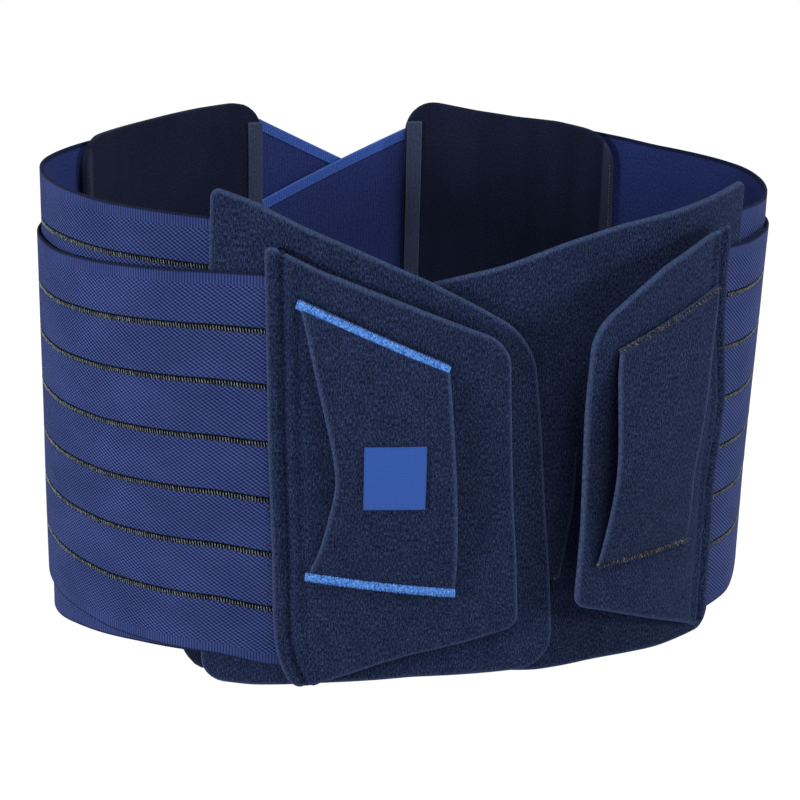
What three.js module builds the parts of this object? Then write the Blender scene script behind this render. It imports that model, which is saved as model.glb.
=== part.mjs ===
// Lumbar support belt, closed, standing on its lower edges. Millimetres, +Z up.
// The wearer's body passes through the ring along Z. The closure is at -Y and the stays at +Y.
// Every piece of cloth is cut from a flat pattern and wrapped round one waist ring.
import * as THREE from 'three';

// Waist ring: the outer face of the tension straps, seen from above
const waistHalfWidth = 172.4;
const waistHalfDepth = 124.4;
const facetLength = 10;

// Cloth
const elasticThickness = 1.6;
const fleeceThickness = 3.0;
const liningThickness = 1.8;
const tabThickness = 4.6;
const pocketThickness = 1.6;
const labelThickness = 0.6;
const backElasticThickness = 1.2;
const padThickness = 4.4;
const channelThickness = 1.2;
const bindingStandsProud = 0.5;
const layerGap = 0.4;
const seamGap = 0.3;

// Front panels. Along the ring, lengths run from the front centre, positive towards +X.
const leftPanelRear = -119.8;
const leftPanelWidth = 152.4;
const leftPanelHeight = 212;
const rightPanelRear = 137;
const rightPanelWidth = 182;
const rightPanelHeight = 211;
const liningReach = 9;
const liningWidth = 78;
const liningHeight = 200;
const liningFoot = 8;
const rightPanelSinksFrom = 98;
const rightPanelSinksTo = 48;

// Inner bands and tension straps
const leftBandHeight = 214.7;
const rightBandHeight = 212;
const bandUnderPanel = 28;
const rightBandUnderPanel = 33;
const bandUnderPad = 50;
const strapHeight = 176;
const strapFoot = 11;
const leftStrapUnderPad = 29;
const rightStrapUnderPad = 29;
const strapUnderTab = 15;
const strapClimbLength = 12;
const strapClimbClearance = 4;

// Tabs, their finger pockets and the label
const leftTabSeam = -89.5;
const leftTabWidth = 103.1;
const leftTabHeight = 188.4;
const leftTabFoot = 2.6;
const rightTabSeam = 125.6;
const rightTabWidth = 94.1;
const rightTabHeight = 190.5;
const rightTabFoot = 4;
const rightTabLift = 10;
const tabLiftShape = 1.2;
const strapSeatDepth = 19;
const strapSeatSlope = 8;
const leftPocketInset = 11;
const leftPocketWidth = 63.4;
const leftPocketHeight = 123.8;
const leftPocketFoot = 45.6;
const leftPocketPouch = 6.5;
const rightPocketInset = 21.2;
const rightPocketWidth = 63.9;
const rightPocketHeight = 114.4;
const rightPocketFoot = 53.7;
const rightPocketPouch = 7;
const panelPocketFrom = -20;
const panelPocketWidth = 66;
const panelPocketHeight = 106;
const panelPocketFoot = 43;
const labelWidth = 25;
const labelHeight = 26.5;
const labelInset = 24.6;
const labelFoot = 84.4;

// Back: stay pads, their channels, the crossing panels and the bindings on these
const padHeight = 227.5;
const leftPadWidth = 119.5;
const leftPadFromBack = 53.8;
const rightPadWidth = 116.5;
const rightPadFromBack = 32.6;
const channelWidth = 8.6;
const channelFoot = 8;
const channelEndBelowPad = 10;
const leftBackBelowPad = 8;
const rightBackBelowPad = 13.5;
const backPanelInset = 16;
const backPanelDrop = 10;
const backPanelOverlap = 12;
const notchSlope = 0.455;
const bindingWidth = 6;
const crossingRiseFrom = 56;
const crossingRiseTo = 18;

// Colours and finishes from the photograph
const elasticBlue = 0x2c3570;
const fleeceNavy = 0x1d2540;
const liningNavy = 0x1b2238;
const padBlack = 0x12151f;
const channelGrey = 0x2c333f;
const backNavy = 0x191c40;
const bindingBlue = 0x2a3a70;
const labelBlue = 0x2f57a5;

// Radial places of the layers, as distances outside the ring
const bandOuter = -elasticThickness - layerGap;
const bandInner = bandOuter - elasticThickness;
const panelInner = bandOuter + layerGap;
const panelOuter = panelInner + fleeceThickness;
const strapOverPanel = panelOuter + layerGap + elasticThickness;
const tabInner = panelOuter + layerGap;
const tabOuter = tabInner + tabThickness;
const tabSeat = strapOverPanel + layerGap;
const pocketInner = tabOuter + layerGap;
const pocketOuter = pocketInner + pocketThickness;
const panelPocketOuter = panelInner - layerGap;
const panelPocketInner = panelPocketOuter - pocketThickness;
const sunkPanelOuter = panelPocketInner - layerGap;
const backOuter = bandInner - layerGap;
const crossingStep = backElasticThickness + bindingStandsProud + layerGap;
const padOuter = backOuter - backElasticThickness - bindingStandsProud - layerGap;

const blend = (a, b, share) => a + (b - a) * share;
const rampUp = (x, from, to) => THREE.MathUtils.smoothstep(x, from, to);
const rampDown = (x, from, to) => 1 - rampUp(x, from, to);

// The ring walked by length: each row holds the length from the front centre and the ellipse angle
const ringSteps = 1440;
const ringRows = [{ length: 0, angle: 0 }];
for (let step = 1; step <= ringSteps; step += 1) {
  const angle = (2 * Math.PI * step) / ringSteps;
  const middle = angle - Math.PI / ringSteps;
  const dx = waistHalfWidth * Math.cos(middle);
  const dy = waistHalfDepth * Math.sin(middle);
  const length = ringRows[step - 1].length + (Math.hypot(dx, dy) * 2 * Math.PI) / ringSteps;
  ringRows.push({ length, angle });
}
const girth = ringRows[ringSteps].length;
const halfGirth = girth / 2;

function ringAngle(along) {
  const length = ((along % girth) + girth) % girth;
  let low = 0;
  let high = ringSteps;
  while (high - low > 1) {
    const middle = (low + high) >> 1;
    if (ringRows[middle].length > length) high = middle;
    else low = middle;
  }
  const { length: before, angle } = ringRows[low];
  const share = (length - before) / (ringRows[high].length - before);
  return blend(angle, ringRows[high].angle, share);
}

// A point of a flat pattern, set on the ring at a distance outside it
function wrap(along, up, offset) {
  const angle = ringAngle(along);
  const outward = new THREE.Vector2(
    waistHalfDepth * Math.sin(angle),
    -waistHalfWidth * Math.cos(angle),
  ).normalize();
  return new THREE.Vector3(
    waistHalfWidth * Math.sin(angle) + outward.x * offset,
    -waistHalfDepth * Math.cos(angle) + outward.y * offset,
    up,
  );
}

// Reads one column of a table against another, in straight lines between its rows
function read(rows, key, value, at) {
  const last = rows.length - 1;
  if (at <= rows[0][key]) return rows[0][value];
  if (at >= rows[last][key]) return rows[last][value];
  const next = rows.findIndex((row) => row[key] > at);
  const before = rows[next - 1];
  const share = (at - before[key]) / (rows[next][key] - before[key]);
  return blend(before[value], rows[next][value], share);
}

// A pattern's four edges as functions, from tables in shares of its width and height
function patternEdges({ from, width, foot, height, left, right, bottom, top }) {
  return {
    leftAt: (share) => from + width * read(left, 'up', 'along', share),
    rightAt: (share) => from + width * read(right, 'up', 'along', share),
    bottomAt: (share) => foot + height * read(bottom, 'along', 'up', share),
    topAt: (share) => foot + height * read(top, 'along', 'up', share),
  };
}
const square = { start: [{ up: 0, along: 0 }], end: [{ up: 0, along: 1 }] };
const level = { low: [{ along: 0, up: 0 }], high: [{ along: 0, up: 1 }] };

// Shares of the width where a wall has columns: close together round its corners
const cornerAngles = [0, 30, 60, 90].map(THREE.MathUtils.degToRad);
function columnShares(width, leftRadius, rightRadius) {
  const insets = (radius) => {
    if (radius === 0) return [0];
    return cornerAngles.map((angle) => (radius * (1 - Math.cos(angle))) / width);
  };
  const starts = insets(leftRadius);
  const ends = insets(rightRadius).map((inset) => 1 - inset).reverse();
  const firstPlain = starts[starts.length - 1];
  const lastPlain = ends[0];
  const facets = Math.max(1, Math.ceil(((lastPlain - firstPlain) * width) / facetLength));
  const between = [];
  for (let facet = 1; facet < facets; facet += 1) {
    between.push(blend(firstPlain, lastPlain, facet / facets));
  }
  return [...starts, ...between, ...ends];
}

// How much a round corner takes off a column's height
function cornerTrim(distance, radius) {
  if (distance >= radius) return 0;
  return radius - Math.sqrt(radius ** 2 - (radius - distance) ** 2);
}

// One closed wall of cloth: a grid of columns and rows on its inner and on its outer face
function wall(name, color, edges, faces, { rows = 1, corners = {}, roughness = 0.95 } = {}) {
  const { leftAt, rightAt, bottomAt, topAt } = edges;
  const { bottomLeft = 0, topLeft = 0, bottomRight = 0, topRight = 0 } = corners;
  const width = rightAt(0.5) - leftAt(0.5);
  const leftRadius = Math.max(bottomLeft, topLeft);
  const rightRadius = Math.max(bottomRight, topRight);
  const columns = columnShares(width, leftRadius, rightRadius);
  const positions = [];
  for (const face of [faces.inner, faces.outer]) {
    for (const share of columns) {
      const low = bottomAt(share);
      const high = topAt(share);
      const toLeft = share * width;
      const toRight = (1 - share) * width;
      const trimBelow = cornerTrim(toLeft, bottomLeft) + cornerTrim(toRight, bottomRight);
      const trimAbove = cornerTrim(toLeft, topLeft) + cornerTrim(toRight, topRight);
      for (let row = 0; row <= rows; row += 1) {
        const up = blend(low + trimBelow, high - trimAbove, row / rows);
        const rise = (up - low) / (high - low);
        const along = blend(leftAt(rise), rightAt(rise), share);
        positions.push(...wrap(along, up, face(along, rise)));
      }
    }
  }
  const perColumn = rows + 1;
  const perFace = columns.length * perColumn;
  const inner = (column, row) => column * perColumn + row;
  const outer = (column, row) => perFace + inner(column, row);
  const indices = [];
  const quad = (a, b, c, d) => indices.push(a, b, c, a, c, d);
  const lastColumn = columns.length - 1;
  for (let i = 0; i < lastColumn; i += 1) {
    for (let j = 0; j < rows; j += 1) {
      quad(outer(i, j), outer(i + 1, j), outer(i + 1, j + 1), outer(i, j + 1));
      quad(inner(i, j), inner(i, j + 1), inner(i + 1, j + 1), inner(i + 1, j));
    }
    quad(inner(i, 0), inner(i + 1, 0), outer(i + 1, 0), outer(i, 0));
    quad(outer(i, rows), outer(i + 1, rows), inner(i + 1, rows), inner(i, rows));
  }
  for (let j = 0; j < rows; j += 1) {
    quad(inner(0, j), outer(0, j), outer(0, j + 1), inner(0, j + 1));
    quad(outer(lastColumn, j), inner(lastColumn, j), inner(lastColumn, j + 1), outer(lastColumn, j + 1));
  }
  const geometry = new THREE.BufferGeometry();
  geometry.setAttribute('position', new THREE.Float32BufferAttribute(positions, 3));
  geometry.setIndex(indices);
  geometry.computeVertexNormals();
  const material = new THREE.MeshStandardMaterial({ color, roughness, metalness: 0 });
  const mesh = new THREE.Mesh(geometry, material);
  mesh.name = name;
  return mesh;
}

// Faces of a wall whose outer face follows a rule, one thickness outside the inner face
const facesFrom = (outer, thickness) => ({
  outer,
  inner: (along, rise) => outer(along, rise) - thickness,
});

// Inner bands: full height at the back, drawn in towards the front, under the front panels
const leftBandTop = [
  { along: 0, up: 0.99 }, { along: 0.12, up: 0.992 }, { along: 0.25, up: 0.98 },
  { along: 0.43, up: 0.966 }, { along: 0.57, up: 0.95 }, { along: 0.7, up: 0.936 },
  { along: 0.9, up: 0.925 }, { along: 1, up: 0.918 },
];
const leftBandBottom = [
  { along: 0.4, up: 0 }, { along: 0.49, up: 0.011 }, { along: 0.59, up: 0.029 },
  { along: 0.75, up: 0.046 }, { along: 1, up: 0.056 },
];
const rightBandTop = [
  { along: 0, up: 0.92 }, { along: 0.28, up: 0.928 }, { along: 0.49, up: 0.964 },
  { along: 0.73, up: 0.99 }, { along: 0.8, up: 1.003 }, { along: 1, up: 1.036 },
];
const rightBandBottom = [
  { along: 0, up: 0.056 }, { along: 0.25, up: 0.046 }, { along: 0.41, up: 0.029 },
  { along: 0.51, up: 0.011 }, { along: 0.6, up: 0 },
];
const leftPadInnerEdge = -halfGirth + leftPadFromBack;
const leftPadOuterEdge = leftPadInnerEdge + leftPadWidth;
const rightPadInnerEdge = halfGirth - rightPadFromBack;
const rightPadOuterEdge = rightPadInnerEdge - rightPadWidth;

function innerBands() {
  const faces = facesFrom(() => bandOuter, elasticThickness);
  const leftFrom = leftPadOuterEdge - bandUnderPad;
  const rightFrom = rightPanelRear - rightBandUnderPanel;
  const left = patternEdges({
    from: leftFrom,
    width: leftPanelRear + bandUnderPanel - leftFrom,
    foot: 0,
    height: leftBandHeight,
    left: square.start,
    right: square.end,
    bottom: leftBandBottom,
    top: leftBandTop,
  });
  const right = patternEdges({
    from: rightFrom,
    width: rightPadOuterEdge + bandUnderPad - rightFrom,
    foot: 0,
    height: rightBandHeight,
    left: square.start,
    right: square.end,
    bottom: rightBandBottom,
    top: rightBandTop,
  });
  return [
    wall('left_inner_band', elasticBlue, left, faces),
    wall('right_inner_band', elasticBlue, right, faces),
  ];
}

// Tension straps: over the bands, up over the rear edge of a front panel and into a tab
const leftStrapTop = [
  { along: 0, up: 0.98 }, { along: 0.4, up: 0.953 }, { along: 0.49, up: 0.94 },
  { along: 0.61, up: 0.938 }, { along: 0.84, up: 0.949 },
];
const leftStrapBottom = [
  { along: 0, up: 0.074 }, { along: 0.41, up: 0.04 }, { along: 0.62, up: 0.014 },
  { along: 0.85, up: 0.017 }, { along: 0.93, up: 0 },
];
const rightStrapTop = [
  { along: 0, up: 0.97 }, { along: 0.12, up: 0.972 }, { along: 0.22, up: 0.983 }, { along: 1, up: 1 },
];
const rightStrapBottom = [
  { along: 0, up: 0 }, { along: 0.18, up: 0.003 }, { along: 0.24, up: 0.026 },
  { along: 0.285, up: 0.055 }, { along: 0.33, up: 0.024 }, { along: 0.42, up: 0.02 }, { along: 1, up: 0.074 },
];

function tensionStraps() {
  const leftClimbEnd = leftPanelRear - strapClimbClearance;
  const rightClimbEnd = rightPanelRear + strapClimbClearance;
  const leftFaces = facesFrom(
    (along) => strapOverPanel * rampUp(along, leftClimbEnd - strapClimbLength, leftClimbEnd),
    elasticThickness,
  );
  const rightFaces = facesFrom(
    (along) => strapOverPanel * rampDown(along, rightClimbEnd, rightClimbEnd + strapClimbLength),
    elasticThickness,
  );
  const leftFrom = leftPadOuterEdge - leftStrapUnderPad;
  const rightFrom = rightTabSeam - strapUnderTab;
  const left = patternEdges({
    from: leftFrom,
    width: leftTabSeam + strapUnderTab - leftFrom,
    foot: strapFoot,
    height: strapHeight,
    left: square.start,
    right: square.end,
    bottom: leftStrapBottom,
    top: leftStrapTop,
  });
  const right = patternEdges({
    from: rightFrom,
    width: rightPadOuterEdge + rightStrapUnderPad - rightFrom,
    foot: strapFoot,
    height: strapHeight,
    left: square.start,
    right: square.end,
    bottom: rightStrapBottom,
    top: rightStrapTop,
  });
  return [
    wall('left_outer_strap', elasticBlue, left, leftFaces),
    wall('right_outer_strap', elasticBlue, right, rightFaces),
  ];
}

// Front panels: the left one closes over the right one, which sinks a layer deeper under it
const leftPanel = {
  bottom: [
    { along: 0, up: 0 }, { along: 0.15, up: 0 }, { along: 0.36, up: 0.014 },
    { along: 0.59, up: 0.025 }, { along: 1, up: 0.021 },
  ],
  top: [
    { along: 0, up: 0.998 }, { along: 0.13, up: 0.974 }, { along: 0.28, up: 0.93 },
    { along: 0.43, up: 0.892 }, { along: 0.66, up: 0.83 }, { along: 0.8, up: 0.785 },
    { along: 1, up: 0.715 },
  ],
  left: [{ up: 0, along: 0 }, { up: 1, along: 0.041 }],
  right: [
    { up: 0, along: 1 }, { up: 0.15, along: 0.994 }, { up: 0.34, along: 0.978 },
    { up: 0.52, along: 0.956 }, { up: 0.73, along: 0.936 }, { up: 1, along: 0.901 },
  ],
};
const rightPanel = {
  bottom: [
    { along: 0, up: 0.019 }, { along: 0.57, up: 0.015 }, { along: 0.78, up: 0 },
  ],
  top: [
    { along: 0, up: 0.81 }, { along: 0.11, up: 0.827 }, { along: 0.27, up: 0.855 },
    { along: 0.43, up: 0.896 }, { along: 0.57, up: 0.924 }, { along: 0.83, up: 0.966 },
    { along: 1, up: 0.995 },
  ],
  left: square.start,
  right: [{ up: 0, along: 0.967 }, { up: 1, along: 0.989 }],
};

function frontPanels() {
  const left = patternEdges({
    from: leftPanelRear, width: leftPanelWidth, foot: 0, height: leftPanelHeight, ...leftPanel,
  });
  const right = patternEdges({
    from: rightPanelRear - rightPanelWidth, width: rightPanelWidth, foot: 0, height: rightPanelHeight,
    ...rightPanel,
  });
  const lining = patternEdges({
    from: leftPanelRear - liningReach,
    width: liningWidth,
    foot: liningFoot,
    height: liningHeight,
    left: square.start,
    right: square.end,
    bottom: [{ along: 0, up: 0 }, { along: 0.15, up: -0.03 }],
    top: [{ along: 0.1, up: 0.92 }, { along: 1, up: 0.85 }],
  });
  const bandEnd = leftPanelRear + bandUnderPanel;
  const liningFaces = facesFrom(
    (along) => blend(backOuter, bandOuter, rampUp(along, bandEnd + layerGap, bandEnd + strapUnderTab)),
    liningThickness,
  );
  const rightFaces = facesFrom(
    (along) => blend(sunkPanelOuter, panelOuter, rampUp(along, rightPanelSinksTo, rightPanelSinksFrom)),
    fleeceThickness,
  );
  return [
    wall('left_front_panel', fleeceNavy, left, facesFrom(() => panelOuter, fleeceThickness), {
      rows: 6, corners: { bottomLeft: 10, topLeft: 5, bottomRight: 9, topRight: 14 },
    }),
    wall('right_front_panel', fleeceNavy, right, rightFaces, {
      rows: 3, corners: { bottomLeft: 9, topLeft: 9, bottomRight: 10, topRight: 5 },
    }),
    wall('left_front_lining', liningNavy, lining, liningFaces, { corners: { bottomLeft: 12 } }),
  ];
}

// Tabs: the strap's end lies in a seat on their inner face. The right tab's free edge stands off.
const leftTab = {
  bottom: [
    { along: 0, up: 0 }, { along: 0.2, up: 0.039 }, { along: 0.49, up: 0.094 },
    { along: 0.74, up: 0.126 }, { along: 1, up: 0.152 },
  ],
  top: [{ along: 0, up: 1 }, { along: 0.25, up: 0.939 }, { along: 0.54, up: 0.88 }, { along: 1, up: 0.785 }],
  left: [{ up: 0, along: 0.058 }, { up: 0.3, along: 0.034 }, { up: 0.55, along: 0.017 }, { up: 1, along: 0.002 }],
  right: [
    { up: 0, along: 1 }, { up: 0.23, along: 0.981 }, { up: 0.45, along: 0.949 },
    { up: 0.85, along: 0.909 }, { up: 1, along: 0.897 },
  ],
};
const rightTab = {
  bottom: [{ along: 0, up: 0.184 }, { along: 0.42, up: 0.104 }, { along: 0.91, up: 0.013 }, { along: 1, up: 0 }],
  top: [
    { along: 0, up: 0.803 }, { along: 0.22, up: 0.866 }, { along: 0.45, up: 0.924 },
    { along: 0.77, up: 0.976 }, { along: 1, up: 1 },
  ],
  left: [{ up: 0, along: 0.005 }, { up: 0.28, along: 0.019 }, { up: 1, along: 0.005 }],
  right: [
    { up: 0, along: 0.951 }, { up: 0.22, along: 0.953 }, { up: 0.37, along: 0.946 },
    { up: 0.47, along: 0.972 }, { up: 0.57, along: 1 }, { up: 0.7, along: 0.939 },
    { up: 0.82, along: 0.881 }, { up: 0.91, along: 0.843 }, { up: 1, along: 0.834 },
  ],
};
const rightTabFree = rightTabSeam - rightTabWidth;

function rightLift(along) {
  const share = THREE.MathUtils.clamp((rightTabSeam - along) / rightTabWidth, 0, 1);
  return rightTabLift * share ** tabLiftShape;
}

function tabs() {
  const left = patternEdges({
    from: leftTabSeam, width: leftTabWidth, foot: leftTabFoot, height: leftTabHeight, ...leftTab,
  });
  const right = patternEdges({
    from: rightTabFree, width: rightTabWidth, foot: rightTabFoot, height: rightTabHeight, ...rightTab,
  });
  const leftSeatEnd = leftTabSeam + strapSeatDepth;
  const rightSeatEnd = rightTabSeam - strapSeatDepth;
  const leftFaces = {
    outer: () => tabOuter,
    inner: (along) => blend(tabInner, tabSeat, rampDown(along, leftSeatEnd, leftSeatEnd + strapSeatSlope)),
  };
  const rightFaces = {
    outer: (along) => tabOuter + rightLift(along),
    inner: (along) => rightLift(along)
      + blend(tabInner, tabSeat, rampUp(along, rightSeatEnd - strapSeatSlope, rightSeatEnd)),
  };
  return [
    wall('left_tab', fleeceNavy, left, leftFaces, {
      rows: 5, corners: { bottomLeft: 5, topLeft: 5, bottomRight: 5, topRight: 9 },
    }),
    wall('right_tab', fleeceNavy, right, rightFaces, {
      rows: 9, corners: { bottomLeft: 5, topLeft: 9, bottomRight: 9, topRight: 5 },
    }),
  ];
}

// Finger pockets: sewn down along the top and the bottom, open at both sides, pouched between
const leftPocket = {
  bottom: [{ along: 0, up: 0.062 }, { along: 1, up: 0 }],
  top: [{ along: 0, up: 1 }, { along: 1, up: 0.789 }],
  left: [
    { up: 0, along: 0.065 }, { up: 0.11, along: 0.145 }, { up: 0.25, along: 0.203 },
    { up: 0.36, along: 0.243 }, { up: 0.5, along: 0.21 }, { up: 0.72, along: 0.117 }, { up: 1, along: 0 },
  ],
  right: [{ up: 0, along: 1 }, { up: 0.14, along: 1 }, { up: 1, along: 0.921 }],
};
const rightPocket = {
  bottom: level.low,
  top: [{ along: 0, up: 0.824 }, { along: 1, up: 1 }],
  left: [{ up: 0, along: 0.008 }, { up: 0.42, along: 0.047 }, { up: 0.9, along: 0.04 }, { up: 1, along: 0.07 }],
  right: [
    { up: 0, along: 0.875 }, { up: 0.09, along: 0.858 }, { up: 0.3, along: 0.79 },
    { up: 0.49, along: 0.828 }, { up: 0.76, along: 0.908 }, { up: 1, along: 1 },
  ],
};
const panelPocket = {
  bottom: [{ along: 0, up: 0.06 }, { along: 1, up: 0 }],
  top: [{ along: 0, up: 0.85 }, { along: 1, up: 1 }],
  left: square.start,
  right: [{ up: 0, along: 0.86 }, { up: 0.3, along: 0.94 }, { up: 0.6, along: 0.97 }, { up: 1, along: 0.92 }],
};
const pouchShare = (rise) => Math.sin(Math.PI * THREE.MathUtils.clamp(rise, 0, 1));

function pockets() {
  const left = patternEdges({
    from: leftTabSeam + leftPocketInset, width: leftPocketWidth, foot: leftPocketFoot,
    height: leftPocketHeight, ...leftPocket,
  });
  const right = patternEdges({
    from: rightTabSeam - rightPocketInset - rightPocketWidth, width: rightPocketWidth,
    foot: rightPocketFoot, height: rightPocketHeight, ...rightPocket,
  });
  const hidden = patternEdges({
    from: panelPocketFrom, width: panelPocketWidth, foot: panelPocketFoot, height: panelPocketHeight,
    ...panelPocket,
  });
  const leftFaces = facesFrom((along, rise) => pocketOuter + leftPocketPouch * pouchShare(rise), pocketThickness);
  const rightFaces = facesFrom(
    (along, rise) => pocketOuter + rightLift(along) + rightPocketPouch * pouchShare(rise),
    pocketThickness,
  );
  return [
    wall('left_tab_pocket', fleeceNavy, left, leftFaces, { rows: 9 }),
    wall('right_tab_pocket', fleeceNavy, right, rightFaces, { rows: 9 }),
    wall('right_panel_pocket', fleeceNavy, hidden, facesFrom(() => panelPocketOuter, pocketThickness), { rows: 3 }),
  ];
}

// Woven label, sewn flat on the left pocket's pouch
function label() {
  const lowest = leftPocketFoot + leftPocketHeight * leftPocket.bottom[0].up;
  const highest = leftPocketFoot + leftPocketHeight * leftPocket.top[0].up;
  const edges = patternEdges({
    from: leftTabSeam + leftPocketInset + labelInset,
    width: labelWidth,
    foot: labelFoot,
    height: labelHeight,
    left: square.start,
    right: square.end,
    bottom: level.low,
    top: level.high,
  });
  const pocketTop = (along) => {
    const share = (along - leftTabSeam - leftPocketInset) / leftPocketWidth;
    return {
      low: blend(lowest, leftPocketFoot, share),
      high: blend(highest, leftPocketFoot + leftPocketHeight * leftPocket.top[1].up, share),
    };
  };
  const inner = (along, rise) => {
    const { low, high } = pocketTop(along);
    const pocketRise = (labelFoot + labelHeight * rise - low) / (high - low);
    return pocketOuter + leftPocketPouch * pouchShare(pocketRise) + layerGap;
  };
  const faces = { inner, outer: (along, rise) => inner(along, rise) + labelThickness };
  return wall('label', labelBlue, edges, faces, { rows: 4, roughness: 0.55 });
}

// Crossing panels at the back. Past its own pad each one tapers towards the other pad.
const nearCrossing = (distance) => rampDown(distance, crossingRiseTo, crossingRiseFrom);

function backPanel(side, height, from, to, padWidth, padInnerEdge, faces) {
  const pastPad = (share) => (blend(from, to, share) - padInnerEdge) * Math.sign(padInnerEdge);
  const taper = (share) => notchSlope * Math.max(0, pastPad(share));
  const drop = (share) => (backPanelDrop * Math.max(0, -pastPad(share))) / padWidth;
  const topAt = (share) => height - taper(share) - drop(share);
  const bottomAt = taper;
  const ends = { leftAt: () => from, rightAt: () => to };
  const panelTop = (share) => topAt(share) - bindingWidth - seamGap;
  const bindingBottom = (share) => topAt(share) - bindingWidth;
  const bindingFaces = {
    outer: faces.outer,
    inner: (along) => faces.inner(along) - bindingStandsProud,
  };
  return [
    wall(`${side}_back_panel`, backNavy, { ...ends, bottomAt, topAt: panelTop }, faces),
    wall(`${side}_back_binding`, bindingBlue, { ...ends, bottomAt: bindingBottom, topAt }, bindingFaces),
  ];
}

function backPanels() {
  const leftFaces = facesFrom(() => backOuter, backElasticThickness);
  const rightFaces = facesFrom(
    (along) => backOuter - crossingStep * nearCrossing(rightPadInnerEdge - along),
    backElasticThickness,
  );
  const leftEnd = rightPadInnerEdge - backPanelOverlap - girth;
  const rightEnd = leftPadInnerEdge + backPanelOverlap + girth;
  return [
    ...backPanel(
      'left', padHeight - leftBackBelowPad, leftEnd, leftPadOuterEdge - backPanelInset, leftPadWidth,
      leftPadInnerEdge, leftFaces,
    ),
    ...backPanel(
      'right', padHeight - rightBackBelowPad, rightPadOuterEdge + backPanelInset, rightEnd, rightPadWidth,
      rightPadInnerEdge, rightFaces,
    ),
  ];
}

// Stay pads inside the back, with a tape over the stay along each pad's inner edge
const leftPadTop = [
  { along: 0, up: 0.991 }, { along: 0.14, up: 1 }, { along: 0.3, up: 0.991 },
  { along: 0.56, up: 0.971 }, { along: 0.84, up: 0.952 }, { along: 1, up: 0.939 },
];
const rightPadTop = [
  { along: 0, up: 0.919 }, { along: 0.14, up: 0.94 }, { along: 0.28, up: 0.952 },
  { along: 0.47, up: 0.96 }, { along: 0.66, up: 0.971 }, { along: 0.85, up: 0.999 }, { along: 1, up: 1 },
];

function stayPads() {
  const outerBy = (toInnerEdge) => padOuter - crossingStep * nearCrossing(toInnerEdge);
  const leftOuter = (along) => outerBy(along - leftPadInnerEdge);
  const rightOuter = (along) => outerBy(rightPadInnerEdge - along);
  const padEdges = (from, width, top) => patternEdges({
    from, width, foot: 0, height: padHeight, left: square.start, right: square.end, bottom: level.low, top,
  });
  const tapeEdges = (from, high) => patternEdges({
    from, width: channelWidth, foot: channelFoot, height: high - channelFoot,
    left: square.start, right: square.end, bottom: level.low, top: level.high,
  });
  const tapeFaces = (outer) => facesFrom((along) => outer(along) - padThickness - seamGap, channelThickness);
  const leftPad = padEdges(leftPadInnerEdge, leftPadWidth, leftPadTop);
  const rightPad = padEdges(rightPadOuterEdge, rightPadWidth, rightPadTop);
  const leftTape = tapeEdges(leftPadInnerEdge, padHeight - channelEndBelowPad);
  const rightTape = tapeEdges(rightPadInnerEdge - channelWidth, padHeight - channelEndBelowPad);
  return [
    wall('left_stay_pad', padBlack, leftPad, facesFrom(leftOuter, padThickness), {
      rows: 2, corners: { topLeft: 12, topRight: 15, bottomLeft: 6, bottomRight: 6 }, roughness: 0.85,
    }),
    wall('right_stay_pad', padBlack, rightPad, facesFrom(rightOuter, padThickness), {
      rows: 2, corners: { topLeft: 14, topRight: 16, bottomLeft: 6, bottomRight: 6 }, roughness: 0.85,
    }),
    wall('left_stay_channel', channelGrey, leftTape, tapeFaces(leftOuter), { roughness: 0.8 }),
    wall('right_stay_channel', channelGrey, rightTape, tapeFaces(rightOuter), { roughness: 0.8 }),
  ];
}

const belt = new THREE.Group();
belt.add(
  ...innerBands(), ...tensionStraps(), ...frontPanels(), ...tabs(), ...pockets(), label(),
  ...backPanels(), ...stayPads(),
);

// The origin is the middle of the belt's box, on the surface that it stands on
const box = new THREE.Box3().setFromObject(belt);
const middle = box.getCenter(new THREE.Vector3());
belt.position.set(-middle.x, -middle.y, -box.min.z);

export default belt;
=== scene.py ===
# Lumbar support belt, closed and standing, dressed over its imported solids. Metres, +Z up, closure at -Y.
import math

import bpy
import numpy as np
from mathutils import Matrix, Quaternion, Vector


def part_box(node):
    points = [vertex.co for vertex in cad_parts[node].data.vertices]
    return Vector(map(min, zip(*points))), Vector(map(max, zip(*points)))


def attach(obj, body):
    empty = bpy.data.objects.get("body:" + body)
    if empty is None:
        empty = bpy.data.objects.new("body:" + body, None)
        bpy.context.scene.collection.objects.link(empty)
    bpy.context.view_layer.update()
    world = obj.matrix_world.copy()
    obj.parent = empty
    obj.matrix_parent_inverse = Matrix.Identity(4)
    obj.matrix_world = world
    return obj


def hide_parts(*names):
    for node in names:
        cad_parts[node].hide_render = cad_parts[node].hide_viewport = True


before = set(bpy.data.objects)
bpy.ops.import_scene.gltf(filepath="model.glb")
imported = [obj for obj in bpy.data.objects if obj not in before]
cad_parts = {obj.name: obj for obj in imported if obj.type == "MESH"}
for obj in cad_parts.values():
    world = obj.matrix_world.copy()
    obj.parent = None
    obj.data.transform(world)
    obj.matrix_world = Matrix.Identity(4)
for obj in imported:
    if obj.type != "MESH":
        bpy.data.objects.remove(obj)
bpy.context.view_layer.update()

# Inner bands, left and right.
# Wide knitted elastic that goes round the waist. Ladders of bare rubber threads run along it, and both
# selvedges are ribbed. Its front end is sewn under a front panel, its back end over a back panel.
MM = 0.001
ring_half_width = 172.4 * MM
ring_half_depth = 124.4 * MM
back_layer = -4.0 * MM
left_strap_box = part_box("left_outer_strap")
right_strap_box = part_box("right_outer_strap")
ring_x = (left_strap_box[0].x + right_strap_box[1].x) / 2
ring_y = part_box("left_back_panel")[1].y - ring_half_depth - back_layer
ring_angles = np.linspace(-2 * math.pi, 2 * math.pi, 9601)
ring_speed = np.hypot(ring_half_width * np.cos(ring_angles), ring_half_depth * np.sin(ring_angles))
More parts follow.
